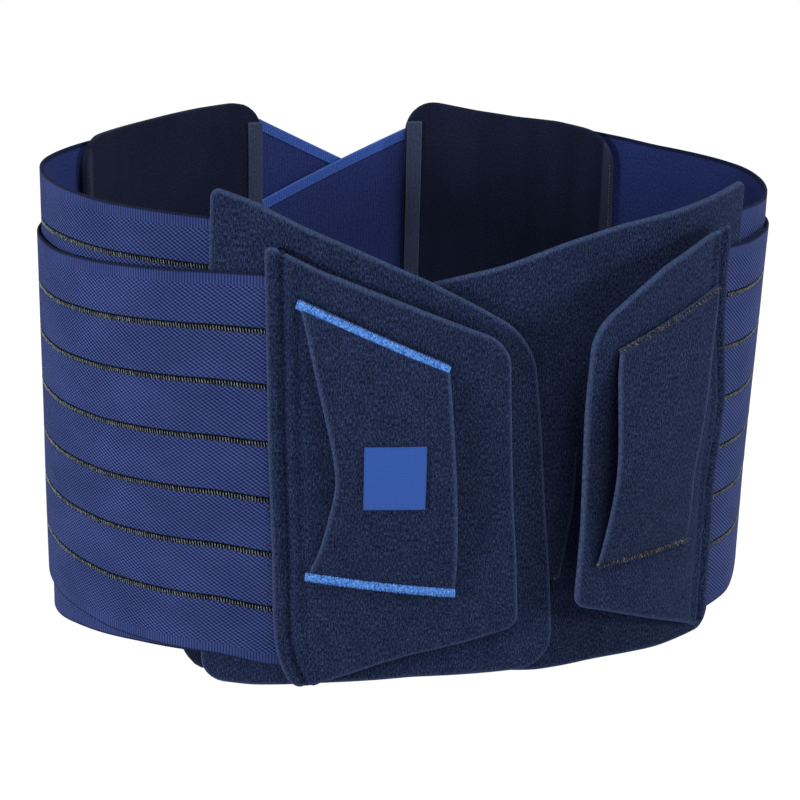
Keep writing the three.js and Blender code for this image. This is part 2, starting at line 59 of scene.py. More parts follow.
ring_steps = (ring_speed[1:] + ring_speed[:-1]) / 2 * np.diff(ring_angles)
ring_lengths = np.concatenate([[0], np.cumsum(ring_steps)])
ring_lengths -= np.interp(0, ring_angles, ring_lengths)
girth = float(np.interp(2 * math.pi, ring_angles, ring_lengths))


def ring_outward(along):
    """Unit vectors out of the waist ring, at lengths from the front centre."""
    angle = np.interp(along, ring_lengths, ring_angles)
    x, y = ring_half_depth * np.sin(angle), -ring_half_width * np.cos(angle)
    size = np.hypot(x, y)
    return np.stack([x / size, y / size, np.zeros_like(x)], -1)


def on_ring(along, up, out):
    """Points of a flat pattern, wrapped round the waist ring at a distance outside it."""
    angle = np.interp(along, ring_lengths, ring_angles)
    x = ring_x + ring_half_width * np.sin(angle)
    y = ring_y - ring_half_depth * np.cos(angle)
    return np.stack([x, y, up + np.zeros_like(x)], -1) + ring_outward(along) * np.asarray(out)[..., None]


def cut_line(rows, scale, foot=0.0, soften=0.02):
    """A cut edge from rows of (share, value), with its corners eased as scissors leave them."""
    at, value = np.array(rows, float).T
    ease = np.linspace(-3, 3, 25) * soften
    weight = np.exp(-((ease / soften) ** 2))
    fine = np.linspace(0, 1, 401)
    eased = [w * np.interp(np.clip(fine + e, 0, 1), at, value) for e, w in zip(ease, weight)]
    line = sum(eased) / weight.sum()
    ends = np.interp([0, 1], at, value)
    start_miss, end_miss = ends[0] - line[0], ends[1] - line[-1]
    line += start_miss * np.exp(-fine / soften) + end_miss * np.exp(-(1 - fine) / soften)
    return lambda share: foot + scale * np.interp(share, fine, line)


def ramp(x, low, high):
    """A soft step from 0 at low to 1 at high."""
    share = np.clip((x - low) / (high - low), 0, 1)
    return share * share * (3 - 2 * share)


def hump(x, middle, half):
    """A soft ridge, 1 high at its middle and 0 past its half width."""
    share = np.clip(1 - np.abs(x - middle) / half, 0, 1)
    return share * share * (3 - 2 * share)


def mesh_places(length, step, ladders=()):
    """Shares of a length for mesh lines: close together at both ends and at each ladder."""
    edge = np.array([0, 0.15, 0.4, 0.75, 1.2, 1.8, 2.6, 3.6, 4.8]) * MM
    edge = edge[edge < length / 2.2]
    inside = np.linspace(edge[-1], length - edge[-1], max(2, int((length - 2 * edge[-1]) / step) + 2))
    beside = np.array([-1.9, -1.45, -1.1, -0.75, 0, 0.75, 1.1, 1.45, 1.9]) * MM
    for ladder in ladders:
        inside = inside[np.abs(inside - ladder * length) > 2.6 * MM]
    near_ladders = [ladder * length + beside for ladder in ladders]
    places = np.sort(np.concatenate([edge, length - edge, inside[1:-1], *near_ladders]))
    keep = np.concatenate([[True], np.diff(places) > 0.05 * MM])
    return places[keep] / length


def edge_distance(points, outline):
    """Distance of flat points to a closed outline."""
    start, along = outline, np.roll(outline, -1, 0) - outline
    size = np.maximum((along**2).sum(-1), 1e-14)
    result = np.empty(len(points))
    for first in range(0, len(points), 1500):
        some = points[first : first + 1500, None, :] - start
        share = np.clip((some * along).sum(-1) / size, 0, 1)
        result[first : first + 1500] = np.sqrt(((some - share[..., None] * along) ** 2).sum(-1).min(1))
    return result


def rounded(gap, radius):
    """How far a rounded edge falls back, at a distance inside the outline."""
    reach = np.clip(radius - gap, 0, radius)
    return radius - np.sqrt(np.maximum(radius**2 - reach**2, 0))


def add_object(name, data):
    """A new object in the scene."""
    made = bpy.data.objects.new(name, data)
    bpy.context.scene.collection.objects.link(made)
    return made


def cloth_wall(
    name, cut, outer, inner, rounding, step=2.6 * MM, corners=(0, 0, 0, 0), ladders=(), backed=False,
):
    """A closed wall of cloth, wrapped round the ring.

    cut holds the left, right, bottom and top edges. outer and inner give the faces' distances outside the
    ring. The wall carries a flat UV map and its distances to the outline, the hems and the ladders, for
    its material. A backed wall's inner face wears a second material.
    """
    left, right, bottom, top = cut
    width = float(right(0.5) - left(0.5))
    height = float(top(0.5) - bottom(0.5))
    share, row = np.meshgrid(mesh_places(width, step), mesh_places(height, step, ladders), indexing="ij")
    low, high = bottom(share), top(share)
    bottom_left, top_left, bottom_right, top_right = corners
    below = rounded(share * width, bottom_left) + rounded((1 - share) * width, bottom_right)
    above = rounded(share * width, top_left) + rounded((1 - share) * width, top_right)
    up = low + below + (high - above - low - below) * row
    rise = (up - low) / (high - low)
    along = left(rise) + (right(rise) - left(rise)) * share
    columns, rows = share.shape
    number = np.arange(columns * rows).reshape(columns, rows)
    border = np.concatenate([number[:, 0], number[-1, 1:], number[-2::-1, -1], number[0, -2:0:-1]])
    flat = np.stack([along.ravel(), up.ravel()], -1)
    near = (np.minimum(share, 1 - share) * width < 12 * MM) | (np.minimum(up - low, high - up) < 12 * MM)
    gap = np.full(columns * rows, 12 * MM)
    gap[near.ravel()] = np.minimum(edge_distance(flat[near.ravel()], flat[border]), 12 * MM)
    gap = gap.reshape(columns, rows)
    to_ladder = np.full_like(up, 20 * MM)
    for ladder in ladders:
        to_ladder = np.minimum(to_ladder, np.abs(rise - ladder) * height)
    groove = 1 - ramp(to_ladder, 0.95 * MM, 1.45 * MM)
    outside = outer(along, rise, share) - rounded(gap, rounding[0]) - 0.55 * MM * groove
    inside = inner(along, rise, share) + rounded(gap, rounding[1])
    vertices = np.concatenate([on_ring(along, up, out).reshape(-1, 3) for out in (outside, inside)])
    quad = np.stack([number[:-1, :-1], number[1:, :-1], number[1:, 1:], number[:-1, 1:]], -1).reshape(-1, 4)
    inner_number = columns * rows
    following = np.roll(border, -1)
    rim = np.stack([border, border + inner_number, following + inner_number, following], -1)
    faces = np.concatenate([quad, quad[:, ::-1] + inner_number, rim])
    mesh = bpy.data.meshes.new(name)
    mesh.from_pydata(vertices.tolist(), [], faces.tolist())
    mesh.polygons.foreach_set("use_smooth", np.ones(len(faces), bool))
    corner_vertex = np.empty(len(mesh.loops), int)
    mesh.loops.foreach_get("vertex_index", corner_vertex)
    in_or_out = np.concatenate([np.zeros(len(quad), int), np.ones(len(quad), int), np.zeros(len(rim), int)])
    mesh.polygons.foreach_set("material_index", in_or_out if backed else 0 * in_or_out)
    flat_twice = np.concatenate([flat, flat])
    mesh.uv_layers.new(name="cloth").data.foreach_set("uv", flat_twice[corner_vertex].ravel())
    hem = np.minimum(up - low, high - up)
    for label_word, value in (("from_edge", gap / MM), ("from_hem", hem / MM), ("groove", groove)):
        layer = mesh.attributes.new(label_word, "FLOAT", "POINT")
        layer.data.foreach_set("value", np.concatenate([value.ravel(), value.ravel()]).astype(np.float32))
    return add_object(name, mesh)


def beneath(face, thick):
    """The other face of a cloth, a thickness under the first."""
    return lambda along, rise, share: face(along, rise, share) - thick


def lay(piece, node, material, backing=None):
    """Gives a wall of cloth its material and puts it in its solid's place, hiding the solid."""
    piece.data.materials.append(material)
    if backing:
        piece.data.materials.append(backing)
    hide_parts(node)
    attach(piece, "root")


def shade(red, green, blue):
    """A colour from red, green and blue in steps of 255, as the shaders want it."""
    steps = (red / 255, green / 255, blue / 255)
    return (*(s / 12.92 if s <= 0.04045 else ((s + 0.055) / 1.055) ** 2.4 for s in steps), 1.0)


def add_node(tree, kind, inputs=(), **settings):
    """One node with its settings, and its inputs set or linked."""
    made = tree.nodes.new(kind)
    for word, value in settings.items():
        setattr(made, word, value)
    for key, value in dict(inputs).items():
        if isinstance(value, bpy.types.NodeSocket):
            tree.links.new(value, made.inputs[key])
        else:
            made.inputs[key].default_value = value
    return made


def reckon(tree, operation, *values, clamp=False):
    """A Math node's result."""
    made = add_node(tree, "ShaderNodeMath", enumerate(values), operation=operation, use_clamp=clamp)
    return made.outputs[0]


def blend_colours(tree, share, one, other, way="MIX"):
    """One colour turned into another by a share."""
    made = add_node(tree, "ShaderNodeMix", {0: share, 6: one, 7: other}, data_type="RGBA", blend_type=way)
    return made.outputs[2]


def pick(tree, value, stops):
    """A colour ramp over a value."""
    made = add_node(tree, "ShaderNodeValToRGB", {0: value})
    points = made.color_ramp.elements
    while len(points) < len(stops):
        points.new(0.5)
    for point, (place, colour) in zip(points, stops):
        point.position, point.color = place, colour
    return made.outputs[0]


def cloth_shader(name, roughness, sheen, sheen_tint=(0.6, 0.7, 1.0, 1.0)):
    """An empty cloth material: its tree, its shader, and the flat pattern's coordinates in millimetres."""
    material = bpy.data.materials.new(name)
    material.use_nodes = True
    tree = material.node_tree
    surface = tree.nodes["Principled BSDF"]
    surface.inputs["Roughness"].default_value = roughness
    surface.inputs["Specular IOR Level"].default_value = 0.02
    surface.inputs["Sheen Weight"].default_value = sheen
    surface.inputs["Sheen Roughness"].default_value = 0.45
    surface.inputs["Sheen Tint"].default_value = sheen_tint
    pattern = add_node(tree, "ShaderNodeUVMap", uv_map="cloth").outputs[0]
    flat = add_node(tree, "ShaderNodeMapping", {"Vector": pattern, "Scale": (1000, 1000, 1000)}).outputs[0]
    return material, tree, surface, flat


def read_layer(tree, word):
    """A value that the cloth wall carries."""
    return add_node(tree, "ShaderNodeAttribute", attribute_name=word).outputs["Fac"]


def dye(tree, surface, colour, height, strength, distance):
    """Gives a shader its colour, and bump from a height between 0 and 1."""
    tree.links.new(colour, surface.inputs["Base Color"])
    bump = add_node(tree, "ShaderNodeBump", {"Height": height, "Strength": strength, "Distance": distance})
    tree.links.new(bump.outputs[0], surface.inputs["Normal"])


def mottle(tree, flat, stretch, size, detail=2.0, rough=0.6):
    """Noise over the flat pattern, stretched along the pile or the yarn."""
    place = add_node(tree, "ShaderNodeMapping", {"Vector": flat, "Scale": stretch}).outputs[0]
    inputs = {"Vector": place, "Scale": size, "Detail": detail, "Roughness": rough}
    return add_node(tree, "ShaderNodeTexNoise", inputs, noise_dimensions="2D").outputs["Fac"]


def weigh(tree, one, one_share, other, other_share):
    """Two values added by their shares."""
    one_part = reckon(tree, "MULTIPLY", one, one_share)
    other_part = reckon(tree, "MULTIPLY", other, other_share)
    return reckon(tree, "ADD", one_part, other_part)


def spread(tree, value, low, high, at_low=0.0, at_high=1.0):
    """A value between low and high, spread between two others."""
    inputs = {0: value, 1: low, 2: high, 3: at_low, 4: at_high}
    return add_node(tree, "ShaderNodeMapRange", inputs).outputs[0]


def vary(tree, colour, value, darker, lighter):
    """A colour made a little darker or lighter by a slow value."""
    shift = pick(tree, value, [(0.3, darker), (0.7, lighter)])
    return blend_colours(tree, 1.0, colour, shift, "MULTIPLY")


def elastic_cloth(name, hole, yarn, crest, groove_shade):
    """Knitted elastic: small dark holes on two crossing diagonals, ribbed selvedges, ladders with painted
    shade.
    """
    material, tree, surface, flat = cloth_shader(name, 0.78, 0.03)
    parts = add_node(tree, "ShaderNodeSeparateXYZ", {0: flat})
    across, upward = parts.outputs[0], parts.outputs[1]
    wobble = reckon(tree, "MULTIPLY", mottle(tree, flat, (1, 1, 1), 0.09), 1.3)
    turn = 2 * math.pi
    falling = weigh(tree, across, 0.40 * turn, upward, 0.57 * turn)
    rising = weigh(tree, across, 0.41 * turn, upward, -0.69 * turn)
    falling = reckon(tree, "SINE", reckon(tree, "ADD", falling, wobble))
    rising = reckon(tree, "SINE", reckon(tree, "ADD", rising, wobble))
    mesh_height = reckon(tree, "ADD", weigh(tree, falling, 0.30, rising, 0.17), 0.5)
    ribs = reckon(tree, "SINE", reckon(tree, "MULTIPLY", across, 0.775 * turn))
    ribs = reckon(tree, "ADD", reckon(tree, "MULTIPLY", ribs, 0.23), 0.52)
    from_hem = read_layer(tree, "from_hem")
    past_selvedge = spread(tree, from_hem, 4.6, 5.6)
    height = add_node(tree, "ShaderNodeMix", {0: past_selvedge, 2: ribs, 3: mesh_height}).outputs[0]
    fibres = mottle(tree, flat, (1.6, 1.0, 1), 1.1, 3.0, 0.7)
    height = weigh(tree, height, 0.85, fibres, 0.15)
    colour = pick(tree, height, [(0.16, hole), (0.5, yarn), (0.86, crest)])
    cloudy = mottle(tree, flat, (0.6, 1, 1), 0.045, 2.0)
    colour = vary(tree, colour, cloudy, (0.84, 0.85, 0.88, 1), (1.1, 1.1, 1.08, 1))
    past_hem = spread(tree, from_hem, 0.5, 1.2, 0.18, 1.0)
    colour = blend_colours(tree, past_hem, shade(9, 11, 22), colour)
    # Painted shade: the recessed grooves of the ladders are coloured near-black between the rungs.
    colour = blend_colours(tree, read_layer(tree, "groove"), colour, groove_shade)
    dye(tree, surface, colour, height, 0.55, 0.35 * MM)
    return material


def elastic_back(name, dark, light):
    """The elastic's plain inner side: fine and flat, with a dark selvedge and no ladders."""
    material, tree, surface, flat = cloth_shader(name, 0.85, 0.02)
    grain = mottle(tree, flat, (1.4, 0.9, 1), 0.9, 3.0)
    cloudy = mottle(tree, flat, (0.6, 1, 1), 0.03, 2.0)
    colour = pick(tree, grain, [(0.3, dark), (0.7, light)])
    colour = vary(tree, colour, cloudy, (0.85, 0.85, 0.88, 1), (1.12, 1.12, 1.1, 1))
    selvedge = spread(tree, read_layer(tree, "from_hem"), 1.4, 2.4, 0.75, 0.0)
    colour = blend_colours(tree, selvedge, colour, shade(10, 12, 25))
    dye(tree, surface, colour, grain, 0.3, 0.2 * MM)
    return material


blue_elastic = elastic_cloth(
    "blue_elastic", shade(9, 13, 36), shade(30, 39, 77), shade(50, 63, 108), shade(4, 5, 8),
)
blue_elastic_back = elastic_back("blue_elastic_back", shade(20, 28, 64), shade(33, 44, 89))
elastic_layer = -2.0 * MM
elastic_thick = 1.6 * MM
left_pad_wide, right_pad_wide = 119.5 * MM, 116.5 * MM
left_pad_inner_edge = -girth / 2 + 53.8 * MM
left_pad_outer_edge = left_pad_inner_edge + left_pad_wide
right_pad_inner_edge = girth / 2 - 32.6 * MM
right_pad_outer_edge = right_pad_inner_edge - right_pad_wide
left_band_front, right_band_front = -91.8 * MM, 104 * MM
band_under_pad = 50 * MM
band_ladders = [0.087, 0.202, 0.317, 0.432, 0.547, 0.662, 0.777, 0.892]


def level(value):
    """A straight edge of a pattern."""
    return lambda share: value + 0 * np.asarray(share, float)


def soft_waves(along, up_share, size, seed):
    """Slow hollows and swells, as cloth has that was folded and worn."""
    wave = np.sin(along * 61 + 5.1 * up_share + seed) + np.sin(along * 34 - 9.3 * up_share + 2.1 * seed)
    return size * (wave + 0.7 * np.sin(along * 127 + 14.0 * up_share + 1.3 * seed)) / 2.7


def right_side_lean(along, up):
    """The belt's right side leans outwards: its top stands out and its foot tucks in."""
    return hump(along, 222 * MM, 120 * MM) * np.clip((up - 70 * MM) / (130 * MM), -0.05, 1.0) * 4.0 * MM


def band(side, start, end, top_rows, bottom_rows, tall):
    """One inner band, and its cut for the rungs of its ladders."""
    cut = (level(start), level(end), cut_line(bottom_rows, tall), cut_line(top_rows, tall))
    seed = 1.0 if side == "left" else 4.2
    outer = lambda along, rise, share: (
        elastic_layer + right_side_lean(along, tall * rise) + soft_waves(along, rise, 0.10 * MM, seed)
    )
    piece = cloth_wall(
        f"{side}_band_elastic", cut, outer,
        beneath(outer, elastic_thick),
        (0.45 * MM, 0.45 * MM), 3.2 * MM, ladders=band_ladders, backed=True,
    )
    lay(
        piece, f"{side}_inner_band", blue_elastic,
        backing=blue_elastic_back,
    )
    return cut


left_band_cut = band(
    "left", left_pad_outer_edge - band_under_pad, left_band_front,
    [
        (0, 0.99), (0.12, 0.992), (0.25, 0.98), (0.43, 0.966),
        (0.57, 0.95), (0.7, 0.936), (0.9, 0.925), (1, 0.918),
    ],
    [(0, 0), (0.4, 0), (0.49, 0.011), (0.59, 0.029), (0.75, 0.046), (1, 0.056)],
    214.7 * MM,
)
right_band_cut = band(
    "right", right_band_front, right_pad_outer_edge + band_under_pad,
    [(0, 0.92), (0.28, 0.928), (0.49, 0.964), (0.73, 0.99), (0.8, 1.003), (1, 1.036)],
    [(0, 0.056), (0.25, 0.046), (0.41, 0.029), (0.51, 0.011), (0.6, 0), (1, 0)],
    212 * MM,
)

# Rubber threads of the ladders.
# Where the knit leaves a needle out, short bare threads cross a dark groove like rungs. They are made
# here once as a row of small rungs along a guide, which the tacks and seams further down use too.
rows_of_threads = bpy.data.node_groups.new("rows_of_threads", "GeometryNodeTree")
thread_inputs = {}
for socket_name, socket_kind in (
    ("Guide", "NodeSocketGeometry"), ("Pitch", "NodeSocketFloat"), ("Thread length", "NodeSocketFloat"),
    ("Thread thickness", "NodeSocketFloat"), ("Slant", "NodeSocketFloat"), ("Unevenness", "NodeSocketFloat"),
    ("Seed", "NodeSocketInt"), ("Thread", "NodeSocketMaterial"),
):
    made_socket = rows_of_threads.interface.new_socket(socket_name, in_out="INPUT", socket_type=socket_kind)
    thread_inputs[socket_name] = made_socket.identifier
rows_of_threads.interface.new_socket("Threads", in_out="OUTPUT", socket_type="NodeSocketGeometry")
given = rows_of_threads.nodes.new("NodeGroupInput").outputs


def rung_node(kind, inputs, **settings):
    """One node of the tree that makes the rows of threads."""
    return add_node(rows_of_threads, kind, inputs, **settings)


guide_curve = rung_node("GeometryNodeMeshToCurve", {"Mesh": given["Guide"]})
guide_points = rung_node(
    "GeometryNodeCurveToPoints", {"Curve": guide_curve.outputs["Curve"], "Length": given["Pitch"]},
    mode="LENGTH",
)
outward = rung_node("GeometryNodeInputNamedAttribute", {"Name": "outward"}, data_type="FLOAT_VECTOR")
facing = rung_node("FunctionNodeAlignRotationToVector", {"Vector": guide_points.outputs["Tangent"]}, axis="X")
standing = rung_node(
    "FunctionNodeAlignRotationToVector", {"Rotation": facing.outputs[0], "Vector": outward.outputs[0]},
    axis="Y", pivot_axis="X",
)
uneven_turn = rung_node(
    "FunctionNodeRandomValue", {"Min": -0.35, "Max": 0.35, "Seed": given["Seed"]}, data_type="FLOAT",
)
wander = rung_node(
    "ShaderNodeMath", {0: uneven_turn.outputs[1], 1: given["Unevenness"]}, operation="MULTIPLY",
)
total_turn = rung_node("ShaderNodeMath", {0: wander.outputs[0], 1: given["Slant"]}, operation="ADD")
lean = rung_node("FunctionNodeAxisAngleToRotation", {"Axis": (0, 1, 0), "Angle": total_turn.outputs[0]})
leaning = rung_node(
    "FunctionNodeRotateRotation", {"Rotation": standing.outputs[0], "Rotate By": lean.outputs[0]},
    rotation_space="LOCAL",
)
uneven_size = rung_node(
    "FunctionNodeRandomValue", {"Min": -0.5, "Max": 0.5, "Seed": given["Seed"]}, data_type="FLOAT",
)
size_change = rung_node(
    "ShaderNodeMath", {0: uneven_size.outputs[1], 1: given["Unevenness"], 2: 1.0}, operation="MULTIPLY_ADD",
)
bead = rung_node("GeometryNodeMeshUVSphere", {"Segments": 6, "Rings": 5, "Radius": 0.5})
bead_size = rung_node(
    "ShaderNodeCombineXYZ",
    {0: given["Thread thickness"], 1: given["Thread thickness"], 2: given["Thread length"]},
)
sized_bead = rung_node("GeometryNodeTransform", {"Geometry": bead.outputs[0], "Scale": bead_size.outputs[0]})
rungs = rung_node(
    "GeometryNodeInstanceOnPoints",
    {
        "Points": guide_points.outputs["Points"], "Instance": sized_bead.outputs[0],
        "Rotation": leaning.outputs[0], "Scale": size_change.outputs[0],
    },
)
real_rungs = rung_node("GeometryNodeRealizeInstances", {0: rungs.outputs[0]})
smooth_rungs = rung_node("GeometryNodeSetShadeSmooth", {0: real_rungs.outputs[0]})
dyed_rungs = rung_node(
    "GeometryNodeSetMaterial", {"Geometry": smooth_rungs.outputs[0], "Material": given["Thread"]},
)
rows_result = rows_of_threads.nodes.new("NodeGroupOutput")
rows_of_threads.links.new(dyed_rungs.outputs[0], rows_result.inputs[0])


def thread_rows(name, guides, slot, thread, pitch, length, thickness, slant, unevenness, seed):
    """Rows of short threads. Each guide is (lengths along the ring, heights, distances outside it)."""
    points, edges, directions = [], [], []
    for along, up, out in guides:
        along, up, out = (np.asarray(a, float) for a in np.broadcast_arrays(along, up, out))
        first = sum(len(p) for p in points)
        points.append(on_ring(along, up, out))
        directions.append(ring_outward(along))
        edges += [(first + i, first + i + 1) for i in range(len(along) - 1)]
    mesh = bpy.data.meshes.new(name)
    mesh.from_pydata(np.concatenate(points).tolist(), edges, [])
    layer = mesh.attributes.new("outward", "FLOAT_VECTOR", "POINT")
    layer.data.foreach_set("vector", np.concatenate(directions).ravel().astype(np.float32))
    piece = add_object(name, mesh)
    rows = piece.modifiers.new("rows", "NODES")
    rows.node_group = rows_of_threads
    for word, value in (
        ("Pitch", pitch), ("Thread length", length), ("Thread thickness", thickness), ("Slant", slant),
        ("Unevenness", unevenness), ("Seed", seed), ("Thread", thread),
    ):
        rows[thread_inputs[word]] = value
    evaluated = piece.evaluated_get(bpy.context.evaluated_depsgraph_get())
    made = bpy.data.meshes.new_from_object(evaluated)
    piece.modifiers.remove(rows)
    piece.data = made
    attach(piece, "root")


def spun_thread(name, dark, light, roughness=0.6, turns=(0.35, 0.65)):
    """Thread with a slight change of shade along it."""
    material = bpy.data.materials.new(name)
    material.use_nodes = True
    tree = material.node_tree
    surface = tree.nodes["Principled BSDF"]
    surface.inputs["Roughness"].default_value = roughness
    surface.inputs["Sheen Weight"].default_value = 0.03
    surface.inputs["Specular IOR Level"].default_value = 0.1
    place = add_node(tree, "ShaderNodeTexCoord").outputs["Object"]
    inputs = {"Vector": place, "Scale": 1100.0, "Detail": 2.0}
    grain = add_node(tree, "ShaderNodeTexNoise", inputs).outputs["Fac"]
    colour = pick(tree, grain, [(turns[0], dark), (turns[1], light)])
    dye(tree, surface, colour, grain, 0.4, 0.1 * MM)
    return material


rubber_thread = spun_thread("rubber_thread", shade(40, 45, 50), shade(98, 106, 110), 0.6)
rung_shape = (1.25 * MM, 2.2 * MM, 0.50 * MM, 0.18, 0.3)


def ladder_guides(cut, ladders, start, end, out):
    """One guide along each ladder of an elastic piece, a little below its middle."""
    left, right, bottom, top = cut
    first, last = float(left(0.5)), float(right(0.5))
    along = np.arange(start, end, 2.5 * MM)
    share = (along - first) / (last - first)
    low, high = bottom(share), top(share)
    guides = []
    for ladder in ladders:
        up = low + (high - low) * ladder - 0.35 * MM
        guides.append((along, up, out(along) + right_side_lean(along, up)))
    return guides


left_band_start, right_band_end = left_pad_outer_edge - 49 * MM, right_pad_outer_edge + 49 * MM
shown_rungs = []
for band_cut, ladders, start, end in (
    (left_band_cut, band_ladders[7:], left_band_start, -112 * MM),
    (left_band_cut, band_ladders[:1], left_band_start, left_pad_outer_edge + 70 * MM),
    (left_band_cut, band_ladders[1:7], left_band_start, left_pad_outer_edge - 26 * MM),
    (right_band_cut, band_ladders[7:], 128 * MM, right_band_end),
    (right_band_cut, band_ladders[:1], right_pad_outer_edge - 70 * MM, right_band_end),
    (right_band_cut, band_ladders[1:7], right_pad_outer_edge + 26 * MM, right_band_end),
):
    shown_rungs += ladder_guides(
        band_cut, ladders, start, end, lambda along: elastic_layer - 0.20 * MM + 0 * along,
    )
thread_rows("band_ladder_threads", shown_rungs, "elastic", rubber_thread, *rung_shape, seed=3)

# Tension straps, left and right.
# A second, lower elastic lies over each band. It is sewn down beside the stay pad and runs free to the
# front, where it climbs over the front panel's rear edge and ends inside a pull tab.
strap_over_panel = 3.4 * MM
strap_tall = 176 * MM
strap_foot = 11 * MM
left_panel_rear = -119.8 * MM
right_panel_rear = 137 * MM
left_tab_seam = -89.5 * MM
right_tab_seam = 125.6 * MM


def left_strap_out(along):
    """The left strap's climb from the band on to the front panel."""
    return strap_over_panel * ramp(along, left_panel_rear - 62 * MM, left_panel_rear - 3 * MM)


def right_strap_out(along):
    """The right strap's climb, which falls again towards the rear."""
    return strap_over_panel * (1 - ramp(along, right_panel_rear + 3 * MM, right_panel_rear + 62 * MM))


def strap(side, start, end, top_rows, bottom_rows, climb, ladders):
    """One outer strap, and its cut for the rungs of its ladders."""
    bottom = cut_line(bottom_rows, strap_tall, strap_foot, 0.012)
    cut = (level(start), level(end), bottom, cut_line(top_rows, strap_tall, strap_foot))
    seed = 2.6 if side == "left" else 0.4
    outer = lambda along, rise, share: (
        climb(along)
        + right_side_lean(along, strap_foot + strap_tall * rise)
        + soft_waves(along, rise, 0.12 * MM, seed)
    )
    piece = cloth_wall(
        f"{side}_strap_elastic", cut, outer,
        beneath(outer, elastic_thick),
        (0.45 * MM, 0.45 * MM), 2.8 * MM, ladders=ladders, backed=True,
    )
    lay(
        piece, f"{side}_outer_strap", blue_elastic,
        backing=blue_elastic_back,
    )
    return cut


left_strap_ladders = [0.153, 0.298, 0.438, 0.581, 0.725, 0.862]
right_strap_ladders = [0.181, 0.321, 0.455, 0.590, 0.730, 0.872]
left_strap_start = left_pad_outer_edge - 29 * MM
right_strap_end = right_pad_outer_edge + 29 * MM
left_strap_cut = strap(
    "left", left_strap_start, left_tab_seam + 15 * MM,
    [(0, 0.98), (0.4, 0.953), (0.49, 0.94), (0.61, 0.938), (0.84, 0.949), (1, 0.949)],
    [(0, 0.074), (0.41, 0.04), (0.62, 0.014), (0.85, 0.017), (0.93, 0), (1, 0)],
    left_strap_out, left_strap_ladders,
)
right_strap_cut = strap(
    "right", right_tab_seam - 15 * MM, right_strap_end,
    [(0, 0.97), (0.12, 0.972), (0.22, 0.983), (1, 1)],
    [(0, 0), (0.18, 0.003), (0.24, 0.026), (0.285, 0.055), (0.33, 0.024), (0.42, 0.02), (1, 0.074)],
    right_strap_out, right_strap_ladders,
)
thread_rows(
    "strap_ladder_threads",
    [
        *ladder_guides(
            left_strap_cut, left_strap_ladders, left_strap_start + MM, left_tab_seam + MM,
            lambda along: left_strap_out(along) - 0.20 * MM,
        ),
        *ladder_guides(
            right_strap_cut, right_strap_ladders, right_tab_seam - MM, right_strap_end - MM,
            lambda along: right_strap_out(along) - 0.20 * MM,
        ),
    ],
    "elastic", rubber_thread, *rung_shape, seed=5,
)

# Zigzag seams of the elastic.
# Dark zigzag stitches hold the straps' and bands' rear ends, and one row runs beside each tab's seam.
dark_thread = spun_thread("dark_thread", shade(11, 12, 20), shade(44, 45, 47))
seam_points = 60
seam_shares = np.linspace(0, 1, seam_points)


def upright_guide(along, low, high, out):
    """A guide that runs straight up the cloth."""
    return (np.full(seam_points, along), low + (high - low) * seam_shares, np.full(seam_points, out))


seams = [
    upright_guide(left_strap_start + 3 * MM, 27 * MM, 180 * MM, 0.05 * MM),
    upright_guide(right_strap_end - 3 * MM, 27 * MM, 184 * MM, 0.05 * MM),
    upright_guide(left_band_start + 2 * MM, 3 * MM, 211 * MM, elastic_layer + 0.05 * MM),
    upright_guide(right_band_end - 2 * MM, 3 * MM, 209 * MM, elastic_layer + 0.05 * MM),
]
for seam_name, slant, seed in (("rear_zigzag_seams", 0.75, 7), ("rear_zigzag_seams_back", -0.75, 8)):
    thread_rows(seam_name, seams, "elastic", dark_thread, 1.9 * MM, 3.6 * MM, 0.42 * MM, slant, 0.2, seed)
beside_tabs = [
    upright_guide(left_tab_seam - 1.6 * MM, 15 * MM, 174 * MM, left_strap_out(left_tab_seam) + 0.02 * MM),
    upright_guide(right_tab_seam + 1.6 * MM, 15 * MM, 178 * MM, right_strap_out(right_tab_seam) + 0.02 * MM),
]
thread_rows(
    "tab_zigzag_seams", beside_tabs, "elastic", dark_thread, 3.1 * MM, 1.9 * MM, 0.34 * MM, 0.6, 0.9, 9,
)

# Front panels and the lining behind the left one.
# Thick loop fleece, cut with round corners; hooks behind the left panel hold it on the right one. The
# pile is short and mottled, with a painted highlight along every cut edge.


def loop_fleece(name, deep, pile, tip, rim):
    """Short mottled pile with a painted highlight along the cut edges."""
    material, tree, surface, flat = cloth_shader(name, 0.95, 0.03, (0.45, 0.62, 1.0, 1.0))
    tufts = mottle(tree, flat, (1.3, 0.52, 1), 1.25, 3.0, 0.64)
    curls = mottle(tree, flat, (1.0, 0.6, 1), 3.0, 2.0, 0.6)
    patches = mottle(tree, flat, (1.0, 0.6, 1), 0.16, 2.0)
    height = weigh(tree, tufts, 0.68, curls, 0.32)
    colour = pick(tree, height, [(0.36, deep), (0.5, pile), (0.64, tip)])
    colour = vary(tree, colour, patches, (0.86, 0.87, 0.9, 1), (1.12, 1.12, 1.1, 1))
    # Painted highlight: the cut edges are lightened as if they caught the light, most on the tufts.
    edge_highlight = spread(tree, read_layer(tree, "from_edge"), 0.4, 2.1, 0.46, 0.0)
    share = reckon(tree, "MULTIPLY", edge_highlight, reckon(tree, "ADD", tufts, 0.35), clamp=True)
    colour = blend_colours(tree, share, colour, rim)
    dye(tree, surface, colour, height, 0.85, 0.55 * MM)
    return material


navy_fleece = loop_fleece(
    "navy_fleece", shade(8, 12, 25), shade(20, 27, 48), shade(37, 47, 76), shade(57, 71, 101),
)
dark_lining = loop_fleece(
    "dark_lining", shade(6, 7, 16), shade(12, 16, 30), shade(25, 30, 48), shade(44, 50, 67),
)
fleece_layer = 1.4 * MM
fleece_thick = 3.0 * MM
left_panel_wide, left_panel_tall = 152.4 * MM, 212 * MM
right_panel_wide, right_panel_tall = 182 * MM, 211 * MM


def lay_fleece(piece, node):
    """Lays a piece of the navy fleece on another piece."""
    lay(piece, node, navy_fleece)


